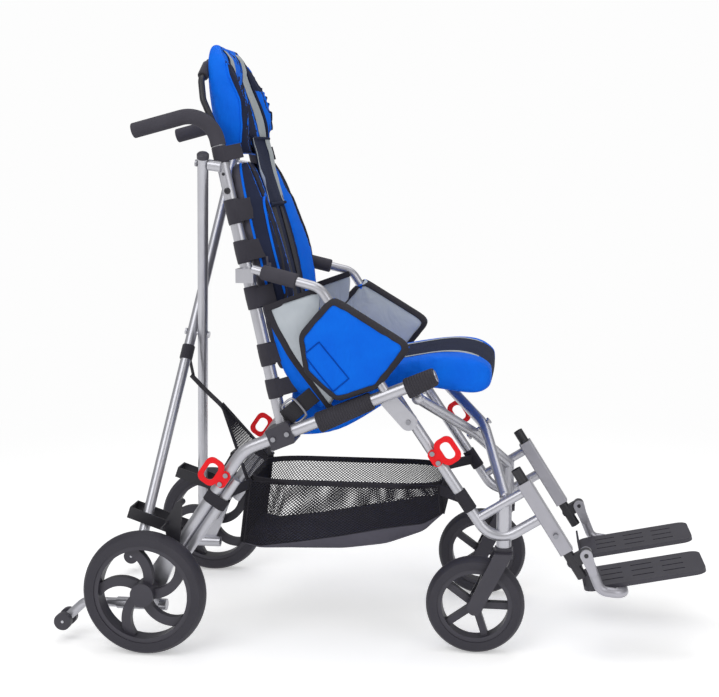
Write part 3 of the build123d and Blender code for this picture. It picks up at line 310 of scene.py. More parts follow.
# Solid polyurethane tyre: dull with a faint bloom.
TYRE = Finish("solid_tyre_rubber", "37353e", "2b2932", Grain.CLOUDY, 2.4, 0.12, 0.62)
# Glass-filled nylon, moulded with a fine spark-eroded grain.
NYLON = Finish("moulded_glass_nylon", "413f48", "35333c", Grain.CLOUDY, 1.2, 0.06, 0.48)
# Zinc-plated steel: bright but not polished.
ZINC = Finish("zinc_plated_steel", "a6a6ac", "88888f", Grain.CLOUDY, 2.0, 0.02, 0.32, 0.9)
# Coated nylon cloth: strong blue, fine weave drawn coarser than real so that it shows, soft creases.
BLUE = Finish(
    "blue_coated_nylon", "0576f4", "0360e2", Grain.WOVEN, 3.0, 0.12, 0.6, crease_mm=5.0, specular=0.12
)
# Stitched seam in the blue cloth: the same cloth in its own shadow.
SEAM = Finish("blue_stitched_seam", "0450bc", "033f9c", Grain.WOVEN, 2.0, 0.1, 0.8, specular=0.1)
# Warp-knit cover: dark navy, slightly furry.
NAVY = Finish("navy_warp_knit", "2a3049", "1d2236", Grain.WOVEN, 3.0, 0.2, 0.85, crease_mm=3.0, specular=0.2)
# Grey lining cloth: pale, dull weave.
GREY_CLOTH = Finish(
    "grey_lining_cloth", "ced4da", "b0b8c0", Grain.WOVEN, 3.0, 0.1, 0.75, crease_mm=4.0, specular=0.2
)
# Grey reflective tape: smooth and a little bright.
STRIPE = Finish("grey_reflective_tape", "b4babc", "9ca3a8", Grain.WOVEN, 2.4, 0.05, 0.5)
# Black binding tape with a ribbed weave.
BINDING = Finish("black_binding_tape", "302e36", "232128", Grain.WOVEN, 2.6, 0.12, 0.85)
# Hook-and-loop tape: matt and furry.
HOOK_LOOP = Finish("hook_and_loop_tape", "3a3842", "2b2931", Grain.CLOUDY, 1.4, 0.35, 0.95, sheen=0.2)
# Ribbed sleeve cloth over foam.
RIB_CLOTH = Finish("ribbed_sleeve_cloth", "3c3a43", "26242b", Grain.RIBBED, 5.5, 1.2, 0.85, turn_deg=22.3)
# Webbing: tight black weave with a slight shine.
WEBBING = Finish("black_polyester_webbing", "26242b", "1a191f", Grain.WOVEN, 2.4, 0.15, 0.7)
# Net yarn and the solid cloth of the basket.
NET_YARN = Finish("black_net_yarn", "2a2831", "201e26", Grain.CLOUDY, 1.0, 0.05, 0.8)
PAN_CLOTH = Finish("dark_basket_cloth", "5c5a66", "4a4853", Grain.WOVEN, 3.0, 0.12, 0.8, crease_mm=4.0)

# Solids of the frame that stay in view, by finish and by their names without the side.
FRAME_FINISHES = (
    (SILVER, "side_tube cane front_leg armrest antitip_bar axle_plate leg_bracket"),
    (SILVER, "rear_brace_a rear_brace_b front_brace_c front_brace_d"),
    (GREY_ALLOY, "footrest_sleeve foot_arm"),
    (BLACK_COAT, "footrest_tube brake_lever rear_link head_rod"),
    (NYLON, "cane_clamp rear_rim front_rim caster_fork antitip_rollers footplate"),
    (TYRE, "rear_tyre front_tyre"),
    (RED_COAT, "tie_downs"),
    (FOAM, "arm_pad grip"),
    (ZINC, "fasteners"),
)


@dataclass(frozen=True)
class Site:
    """Places in the row frame, from distances ahead of the rear axle in millimetres."""

    axle_x: float

    def at(self, ahead: float, y: float, z: float) -> Vector:
        """Give a point in metres from its distance ahead, side offset and height."""
        return Vector((self.axle_x + ahead * MM, y * MM, z * MM))


@dataclass(frozen=True)
class TubeLine:
    """Axis of a straight tube: a start and an end, as ahead, out from the middle and up, in millimetres."""

    start: tuple[float, float, float]
    end: tuple[float, float, float]
    radius: float

    def direction(self, site: Site, side: Side) -> Vector:
        """Give the unit direction of the tube on one side."""
        return (self._place(site, side, self.end) - self._place(site, side, self.start)).normalized()

    def point(self, site: Site, side: Side, run: float) -> Vector:
        """Give the point of the axis at a run from the start, in millimetres."""
        return self._place(site, side, self.start) + self.direction(site, side) * (run * MM)

    def at_height(self, site: Site, side: Side, z: float) -> Vector:
        """Give the point of the axis at a height, in millimetres."""
        return self.point(site, side, (z - self.start[2]) / self.direction(site, side).z)

    def wrap(
        self, thick: float, length: float, slope: Spot | None = None, crown: float | None = None
    ) -> list[Spot]:
        """Give the profile of a sleeve round the tube.

        Args:
            thick: How far it stands out from the tube.
            length: Its length.
            slope: How long and how deep its ends fall off.
            crown: How far its middle stands out further, if it has a middle ring.

        Returns:
            Distances along the tube and radii, in millimetres.
        """
        inner, outer, half = self.radius + CLEARANCE_MM, self.radius + thick, length / 2
        rear = [(-half, inner), (-half, outer)]
        if slope:
            rear[1:] = [(-half, outer - slope[1]), (-half + slope[0], outer)]
        middle = [] if crown is None else [(0, outer + crown)]
        return rear + middle + [(-along, radius) for along, radius in reversed(rear)]

    @staticmethod
    def _place(site: Site, side: Side, spot: tuple[float, float, float]) -> Vector:
        """Give a spot's place on one side."""
        return site.at(spot[0], side.value * spot[1], spot[2])


CANE = TubeLine((272.9, 198.0, 446.0), (120.9, 162.0, 1091.0), 12.7)
# Direction square to the canes that the front of the back faces.
CANE_AHEAD = Vector((0.973, 0, 0.229)).freeze()
RAIL = TubeLine((196.1, 226.0, 414.5), (581.9, 226.0, 572.7), 12.7)
LEG = TubeLine((0.0, 226.0, 127.0), (196.1, 226.0, 414.5), 12.7)
FRONT_LEG = TubeLine((500.5, 192.0, 521.9), (697.7, 192.0, 227.4), 11.1)
BRACES = {
    "rear_brace_a": TubeLine((108.9, -180.0, 983.3), (1.9, 180.0, 254.3), 11.1),
    "rear_brace_b": TubeLine((85.1, 180.0, 986.7), (-21.9, -180.0, 257.7), 11.1),
}
HEAD_ROD = TubeLine((92.0, 118.0, 1152.0), (96.0, 66.0, 1192.0), 6.75)


def between(start: float, end: float, share: float) -> float:
    """Give the value at a share of the way from one to another."""
    return start + (end - start) * share


def even(start: float, end: float, steps: int) -> list[float]:
    """Give even values from one to another."""
    return [between(start, end, number / steps) for number in range(steps + 1)]


def run_length(places: Sequence[Vector]) -> float:
    """Give the length of a route."""
    return sum((a - b).length for a, b in zip(places, places[1:]))


def neighbours(items: Sequence[Vector], number: int, closed: bool) -> tuple[Vector, Vector]:
    """Give the items before and after one, or itself at the end of an open row.

    Args:
        items: The row.
        number: Number of the one.
        closed: Whether the row returns to its start.

    Returns:
        The item before and the item after.
    """
    count = len(items)
    before = items[(number - 1) % count] if closed or number else items[0]
    after = items[(number + 1) % count] if closed or number < count - 1 else items[-1]
    return before, after


def inward_ray(middle: Vector, angle: float) -> Ray:
    """Give a ray to a point from outside, at an angle up from straight ahead."""
    outward = Vector((math.cos(angle), 0, math.sin(angle)))
    return middle + outward * RAY_M, -outward


def make_piece(name: str, shape: Shape, materials: Sequence[Material]) -> Piece:
    """Turn a bmesh into an object of the scene, smooth apart from its sharp edges.

    Args:
        name: Name of the piece.
        shape: The finished shape, which is freed.
        materials: Its materials, by slot.

    Returns:
        The new object.
    """
    bmesh.ops.recalc_face_normals(shape, faces=shape.faces)
    mesh = bpy.data.meshes.new(name)
    shape.to_mesh(mesh)
    shape.free()
    mesh.shade_smooth()
    mesh.set_sharp_from_angle(angle=math.radians(SHARP_DEG))
    for material in materials:
        mesh.materials.append(material)
    piece = bpy.data.objects.new(name, mesh)
    bpy.context.scene.collection.objects.link(piece)
    LOG.info("made %s", name)
    return piece


def open_mesh(piece: Piece) -> Shape:
    """Read a piece's mesh for editing.

    Args:
        piece: The piece.

    Returns:
        A bmesh of it.
    """
    shape = bmesh.new()
    shape.from_mesh(piece.data)
    return shape


def close_mesh(shape: Shape, piece: Piece) -> None:
    """Write an edited mesh back to its piece."""
    shape.to_mesh(piece.data)
    shape.free()


def grown_edges(grown: Sequence[object], fresh: set[bmesh.types.BMVert]) -> list[bmesh.types.BMEdge]:
    """Pick the edges at the far end of what an extrusion made."""
    return [item for item in grown if isinstance(item, bmesh.types.BMEdge) and set(item.verts) <= fresh]


def loft_rows(shape: Shape, rows: Rows) -> None:
    """Extrude a row of edges through places, row by row.

    Args:
        shape: Where the sheet is added.
        rows: Places of each row's vertices, as many in each.
    """
    column = shape.verts.layers.int.new("column")
    first = []
    for number, place in enumerate(rows[0]):
        vertex = shape.verts.new(place)
        vertex[column] = number
        first.append(vertex)
    edges = [shape.edges.new(pair) for pair in zip(first, first[1:])]
    for row in rows[1:]:
        grown = bmesh.ops.extrude_edge_only(shape, edges=edges)["geom"]
        fresh = {item for item in grown if isinstance(item, bmesh.types.BMVert)}
        for vertex in fresh:
            vertex.co = row[vertex[column]]
        edges = grown_edges(grown, fresh)


def loft_tape(rows: Rows, closed: bool) -> Shape:
    """Loft the rows of a tape, and join its ends if it is closed.

    Args:
        rows: Places of each row across the tape.
        closed: Whether it returns to its start.

    Returns:
        The tape, with no thickness.
    """
    shape = bmesh.new()
    loft_rows(shape, rows + rows[:1] if closed else rows)
    if closed:
        bmesh.ops.remove_doubles(shape, verts=shape.verts, dist=WELD_M)
    bmesh.ops.recalc_face_normals(shape, faces=shape.faces)
    return shape


def sew_sheet(name: str, rows: Rows, thick_mm: float, material: Material) -> tuple[Piece, float]:
    """Sew a sheet of cloth through rows of places.

    Args:
        name: Name of the piece.
        rows: Places of each row.
        thick_mm: Thickness of the cloth.
        material: Its material.

    Returns:
        The sheet and its area.
    """
    shape = bmesh.new()
    loft_rows(shape, rows)
    area = sum(face.calc_area() for face in shape.faces)
    bmesh.ops.recalc_face_normals(shape, faces=shape.faces)
    bmesh.ops.solidify(shape, geom=list(shape.faces), thickness=thick_mm * MM)
    piece = make_piece(name, shape, [material])
    subdivide(piece)
    return piece, area


def turned(
    shape: Shape, profile: Sequence[Spot], origin: Vector, axis: Vector, steps: int = 28
) -> list[bmesh.types.BMVert]:
    """Spin a closed profile about an axis.

    Args:
        shape: Where the ring is added.
        profile: Distances along the axis and radii, in millimetres.
        origin: Point of the axis from which the distances run.
        axis: Unit direction of the axis.
        steps: Number of facets round the ring.

    Returns:
        The vertices of the ring.
    """
    outward = axis.orthogonal().normalized()
    places = [origin + axis * (along * MM) + outward * (radius * MM) for along, radius in profile]
    spots = [shape.verts.new(place) for place in places]
    edges = [shape.edges.new(pair) for pair in zip(spots, spots[1:] + spots[:1])]
    way = {"cent": origin, "axis": axis, "angle": math.tau, "steps": steps}
    bmesh.ops.spin(shape, geom=spots + edges, use_merge=True, use_duplicate=False, **way)
    bmesh.ops.remove_doubles(shape, verts=shape.verts, dist=WELD_M)
    return list(shape.verts)


def pipe(shape: Shape, path: Sequence[Vector], radius_mm: float, closed: bool, sides: int = 8) -> None:
    """Extrude a ring along a path, turning it with the path.

    Args:
        shape: Where the pipe is added.
        path: Places of its centre line.
        radius_mm: Radius of the pipe.
        closed: Whether the path returns to its start.
        sides: Number of facets round it.
    """
    tangents = []
    for number in range(len(path)):
        before, after = neighbours(path, number, closed)
        tangents.append((after - before).normalized())
    start = Matrix.Translation(path[0]) @ UP.rotation_difference(tangents[0]).to_matrix().to_4x4()
    size = {"segments": sides, "radius": radius_mm * MM}
    made = bmesh.ops.create_circle(shape, matrix=start, cap_ends=not closed, **size)
    ring = first = [edge for edge in shape.edges if set(edge.verts) <= set(made["verts"])]
    for number in range(1, len(path)):
        grown = bmesh.ops.extrude_edge_only(shape, edges=ring)["geom"]
        fresh = [item for item in grown if isinstance(item, bmesh.types.BMVert)]
        bend = tangents[number - 1].rotation_difference(tangents[number]).to_matrix()
        bmesh.ops.rotate(shape, verts=fresh, cent=path[number - 1], matrix=bend)
        bmesh.ops.translate(shape, verts=fresh, vec=path[number] - path[number - 1])
        ring = grown_edges(grown, set(fresh))
    if closed:
        bmesh.ops.bridge_loops(shape, edges=first + ring)
    else:
        bmesh.ops.contextual_create(shape, geom=ring)


def smooth_path(points: Sequence[Vector], steps: int, closed: bool = False) -> list[Vector]:
    """Round a given route by cutting its corners.

    Args:
        points: The route's corners.
        steps: How often every corner is cut.
        closed: Whether the route returns to its start.

    Returns:
        The rounded route.
    """
    route = list(points)
    for _ in range(steps):
        pairs = list(zip(route, route[1:] + (route[:1] if closed else [])))
        cut = [a.lerp(b, share) for a, b in pairs for share in (0.25, 0.75)]
        route = cut if closed else [route[0], *cut, route[-1]]
    return route


def strap(
    name: str,
    route: Sequence[Vector],
    facing: Sequence[Vector] | Vector,
    size_mm: Spot,
    material: Material,
    closed: bool = False,
) -> Piece:
    """Make a flat strap along a route.

    Args:
        name: Name of the piece.
        route: Places of its middle line.
        facing: Direction that its face looks, for the whole strap or for each place.
        size_mm: Its width and thickness.
        material: Its material.
        closed: Whether the route returns to its start.

    Returns:
        The strap.
    """
    faces = [facing] * len(route) if isinstance(facing, Vector) else facing
    rows = []
    for number, place in enumerate(route):
        before, after = neighbours(route, number, closed)
        across = (after - before).cross(faces[number]).normalized() * (size_mm[0] * MM / 2)
        rows.append([place - across, place, place + across])
    shape = loft_tape(rows, closed)
    bmesh.ops.solidify(shape, geom=list(shape.faces), thickness=size_mm[1] * MM)
    piece = make_piece(name, shape, [material])
    bevel = piece.modifiers.new("Soft edges", "BEVEL")
    bevel.width = size_mm[1] * 0.3 * MM
    bevel.segments = 2
    bevel.limit_method = "ANGLE"
    return piece


def subdivide(piece: Piece) -> None:
    """Smooth a piece by one level of subdivision."""
    finer = piece.modifiers.new("Subdivision", "SUBSURF")
    finer.levels = finer.render_levels = 1


def fold_with_frame(piece: Piece) -> None:
    """Give a piece between the two sides its own copy of its mesh.

    Args:
        piece: The piece, which rides on the right side.
    """
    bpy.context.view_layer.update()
    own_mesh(piece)


@dataclass(frozen=True)
class Padding:
    """How a soft solid is stuffed: drawn in, remeshed, blown up between its seams and capped."""

    inset_mm: float
    voxel_mm: float
    pressure: float
    cap_mm: float
    frames: int = 20
    smoothings: int = 4

    def copy_solid(self, node: Piece, name: str) -> Piece:
        """Copy a soft solid's shape, drawn in a little and remeshed evenly.

        Args:
            node: The frame's soft solid.
            name: Name of the new piece.

        Returns:
            The new piece, with no material.
        """
        shape = open_mesh(node)
        bmesh.ops.remove_doubles(shape, verts=shape.verts, dist=10 * WELD_M)
        piece = make_piece(name, shape, [])
        remesh = piece.modifiers.new("Even faces", "REMESH")
        remesh.mode = "VOXEL"
        remesh.voxel_size = self.voxel_mm * MM
        evaluated = piece.evaluated_get(bpy.context.evaluated_depsgraph_get())
        mesh = bpy.data.meshes.new_from_object(evaluated)
        piece.modifiers.clear()
        piece.data = mesh
        shape = open_mesh(piece)
        axes = {"use_axis_x": True, "use_axis_y": True, "use_axis_z": True}
        for _ in range(self.smoothings):
            bmesh.ops.smooth_vert(shape, verts=shape.verts, factor=0.5, **axes)
        close_mesh(shape, piece)
        piece.data.shade_smooth()
        for vertex in piece.data.vertices:
            vertex.co -= vertex.normal * (self.inset_mm * MM)
        return piece

    def blow_up(self, piece: Piece, sewn: Callable[[Vector], bool]) -> None:
        """Blow the piece up by pressure, held where it is sewn.

        Args:
            piece: An evenly meshed closed piece.
            sewn: Whether a point lies on a seam.
        """
        start = [vertex.co.copy() for vertex in piece.data.vertices]
        seam = piece.vertex_groups.new(name="seam")
        seam.add([number for number, place in enumerate(start) if sewn(place)], 1.0, "REPLACE")
        cloth = piece.modifiers.new("Stuffing", "CLOTH")
        cloth.settings.use_pressure = True
        cloth.settings.uniform_pressure_force = self.pressure
        cloth.settings.effector_weights.gravity = 0.0
        cloth.settings.vertex_group_mass = "seam"
        scene = bpy.context.scene
        for frame in range(1, self.frames + 1):
            scene.frame_set(frame)
        evaluated = piece.evaluated_get(bpy.context.evaluated_depsgraph_get())
        ends = [vertex.co.copy() for vertex in evaluated.data.vertices]
        piece.modifiers.clear()
        piece.vertex_groups.clear()
        for vertex, begin, end in zip(piece.data.vertices, start, ends):
            step = end - begin
            step.length = min(step.length, self.cap_mm * MM)
            vertex.co = begin + step
        scene.frame_set(1)

    def make(self, node: Piece, name: str, sewn: Callable[[Vector], bool]) -> Piece:
        """Make the padded piece that stands for a soft solid.

        Args:
            node: The frame's soft solid.
            name: Name of the new piece.
            sewn: Whether a point lies on a seam.

        Returns:
            The padded piece.
        """
        piece = self.copy_solid(node, name)
        self.blow_up(piece, sewn)
        return piece


class Surface:
    """The outside of a padded piece, on which tapes and seams are laid."""

    def __init__(self, piece: Piece) -> None:
        """Read the piece's faces as they are now.

        Args:
            piece: The piece.
        """
        shape = open_mesh(piece)
        self._tree = BVHTree.FromBMesh(shape)
        shape.free()

    def near(self, spot: Vector) -> tuple[Vector, Vector]:
        """Find the nearest point of the surface, with the normal there."""
        place, normal, _, _ = self._tree.find_nearest(spot)
        return place, normal

    def lay(self, rays: Iterable[Ray]) -> Laid:
        """Lay a line on the surface.

        Args:
            rays: Starts and aims of rays that meet the surface along the line.

        Returns:
            Places and normals where the rays met it.
        """
        found = (self._tree.ray_cast(start, aim.normalized())[:2] for start, aim in rays)
        return [(place, normal) for place, normal in found if place is not None]

    def tape(self, name: str, laid: Laid, size_mm: Spot, material: Material, closed: bool = False) -> Piece:
        """Lay a tape on the surface.

        Args:
            name: Name of the piece.
            laid: Places and normals of its middle line.
            size_mm: Its width, and how far it stands proud.
            material: Its material.
            closed: Whether it returns to its start.

        Returns:
            The tape.
        """
        places = [place for place, _ in laid]
        rows = []
        for number, (place, normal) in enumerate(laid):
            before, after = neighbours(places, number, closed)
            across = (after - before).cross(normal).normalized()
            reach = size_mm[0] * MM / 2
            row = [self.near(place + across * (share * reach)) for share in even(-1.0, 1.0, 4)]
            rows.append([spot + lift * (TAPE_GAP_MM * MM) for spot, lift in row])
        shape = loft_tape(rows, closed)
        middle = list(shape.faces)[len(shape.faces) // 2]
        if middle.normal.dot(self.near(middle.calc_center_median())[1]) < 0:
            bmesh.ops.reverse_faces(shape, faces=list(shape.faces))
        bmesh.ops.solidify(shape, geom=list(shape.faces), thickness=-size_mm[1] * MM)
        piece = make_piece(name, shape, [material])
        subdivide(piece)
        return piece


class Stroller:
    """What every sub-assembly needs: the frame, the places on it and the materials."""

    def __init__(self) -> None:
        """Load the frame and find the rear axle on it."""
        self.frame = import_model()
        self.nodes: dict[str, Piece] = self.frame["nodes"]
        self.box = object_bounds()
        low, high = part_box("right_rear_tyre")
        self.site = Site((low.x + high.x) / 2)
        self._looks: dict[str, Material] = {}

    def look(self, finish: Finish) -> Material:
        """Give the material of a finish, made once.

        Args:
            finish: The finish that is asked for.

        Returns:
            Its material.
        """
        if finish.name not in self._looks:
            self._looks[finish.name] = finish.build()
        return self._looks[finish.name]


@dataclass
class Assembly:
    """A sub-assembly of the stroller, with what all of them do."""

    stroller: Stroller

    def at(self, ahead: float, y: float, z: float) -> Vector:
        """Give a point in metres from its distance ahead, side offset and height in millimetres."""
        return self.stroller.site.at(ahead, y, z)

    def look(self, finish: Finish) -> Material:
        """Give the material of a finish."""
        return self.stroller.look(finish)

    def carry(self, piece: Piece, body: str, slot: str) -> None:
        """Let a piece ride on a body."""
        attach(piece, body)

    def span(self, piece: Piece, slot: str) -> None:
        """Let a piece between the two sides ride on the right one, with its own copy of its mesh."""
        self.carry(piece, ROOT_BODY, slot)
        fold_with_frame(piece)

    def pipe(
        self, name: str, path: Sequence[Vector], radius_mm: float, finish: Finish, closed: bool = False
    ) -> Piece:
        """Make a round cord or wire along a path.

        Args:
            name: Name of the piece.
            path: Places of its centre line.
            radius_mm: Its radius.
            finish: Its finish.
            closed: Whether the path returns to its start.

        Returns:
            The cord or wire.
        """
        shape = bmesh.new()
        pipe(shape, path, radius_mm, closed)
        return make_piece(name, shape, [self.look(finish)])

    def cordon(self, name: str, laid: Laid, radius_mm: float, finish: Finish, closed: bool = False) -> Piece:
        """Lay a round piping on a surface, half sunk."""
        path = [place + normal * (PIPING_RISE * radius_mm * MM) for place, normal in laid]
        return self.pipe(name, path, radius_mm, finish, closed)

    def turn(
        self, name: str, profile: Sequence[Spot], way: Ray, finish: Finish, body: str, slot: str
    ) -> None:
        """Turn a small part or a sleeve.

        Args:
            name: Name of the piece.
            profile: Distances along the axis and radii.
            way: Where the distances start, and the direction of the axis.
            finish: Its finish.
            body: Body that carries it.
            slot: Its slot of the record.
        """
        shape = bmesh.new()
        turned(shape, profile, *way)
        self.carry(make_piece(name, shape, [self.look(finish)]), body, slot)


@dataclass
class BareFrame(Assembly):
    """Finishes of the frame's own solids."""

    def build(self) -> None:
        """Dress every solid that stays in view."""
        finishes = {name: finish for finish, names in FRAME_FINISHES for name in names.split()}
        for name, node in self.stroller.nodes.items():
            kind = name.removeprefix("right_").removeprefix("left_")
            if kind in finishes:
                node.data.materials.clear()
                node.data.materials.append(self.look(finishes[kind]))


@dataclass
class Cushion(Assembly):
    """A padded piece with seams and panels, which stands for a soft solid of the frame."""

    def sewn(self, place: Vector) -> bool:
        """Tell whether a point lies on a seam."""
        raise NotImplementedError

    def panel(self, middle: Vector, normal: Vector) -> int:
        """Give the number of the panel that a face lies in, from its middle and normal."""
        raise NotImplementedError

    def stuff(
        self,
        node: str,
        name: str,
        padding: Padding,
        finishes: Sequence[Finish],
        ride: tuple[str, str],
        fill: float = 0.7,
        cuts: Sequence[float] = (),
    ) -> tuple[Piece, Surface]:
        """Make the cushion and give each face the material of its panel.

        Args:
            node: Name of the soft solid.
            name: Name of the piece.
            padding: How it is stuffed.
            finishes: Finishes of its panels.
            ride: Body that carries it, and its slot of the record.
            fill: Share of its volume that is stuffing. Not used.
            cuts: Y of the planes along which faces are cut, so that panels end on straight lines.

        Returns:
            The cushion and its outside.
        """
        piece = padding.make(self.stroller.nodes[node], name, self.sewn)
        if cuts:
            shape = open_mesh(piece)
            for y in cuts:
                everything = [*shape.verts, *shape.edges, *shape.faces]
                plane = {"plane_co": (0, y, 0), "plane_no": (0, 1, 0)}
                bmesh.ops.bisect_plane(shape, geom=everything, dist=10 * WELD_M, **plane)
            close_mesh(shape, piece)
        piece.data.materials.clear()
        for finish in finishes:
            piece.data.materials.append(self.look(finish))
        for polygon in piece.data.polygons:
            polygon.material_index = self.panel(polygon.center, polygon.normal)
        self.carry(piece, *ride)
        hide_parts(node)
        return piece, Surface(piece)


@dataclass
class SeatPad(Cushion):
    """Seat cushion: navy middle between grey tapes, blue sides and a rolled front edge."""

    stripe_y_mm: float = 108.0
    stripe_width_mm: float = 15.0
    rear_mm: float = 330.0
    above_mm: float = 760.0
    roll_mm: Spot = (560.0, 560.0)
    roll_deg: float = 150.0
    half_steps: int = 13

    def sewn(self, place: Vector) -> bool:
        """Tell whether a point lies on one of the two long seams."""
        return abs(abs(place.y) - self.stripe_y_mm * MM) < SEAM_MM * MM

    def panel(self, middle: Vector, normal: Vector) -> int:
        """Give the panel of a face: navy in the middle of the top and front, blue elsewhere."""
        return 1 if abs(middle.y) < self.stripe_y_mm * MM and normal.z > -0.35 else 0

    def build(self) -> None:
        """Make the cushion with its two tapes."""
        padding = Padding(4.0, 7.0, 5.0, 9.0)
        ride = (ROOT_BODY, "blue_fabric")
        pad, surface = self.stuff("seat_pad", "seat_cushion", padding, (BLUE, NAVY), ride)
        for side in Side:
            size = (self.stripe_width_mm, TAPE_MM)
            laid = surface.lay(self.route(side))
            self.span(surface.tape(f"{side.prefix}_seat_tape", laid, size, self.look(STRIPE)), "grey_fabric")
        subdivide(pad)
        fold_with_frame(pad)

    def route(self, side: Side) -> list[Ray]:
        """Follow the seam from the rear of the top, over the front roll, to its underside.

        Args:
            side: Side of the stroller.

        Returns:
            Rays that meet the cushion along the seam.
        """
        y = side.value * self.stripe_y_mm
        centre = self.at(self.roll_mm[0], y, self.roll_mm[1])
        runs = even(self.rear_mm, self.roll_mm[0], self.half_steps)
        top = [self.at(ahead, y, self.above_mm) for ahead in runs]
        roll = [math.radians(90 - turn) for turn in even(0.0, self.roll_deg, self.half_steps)]
        return [(start, -UP) for start in top[:-1]] + [inward_ray(centre, angle) for angle in roll]


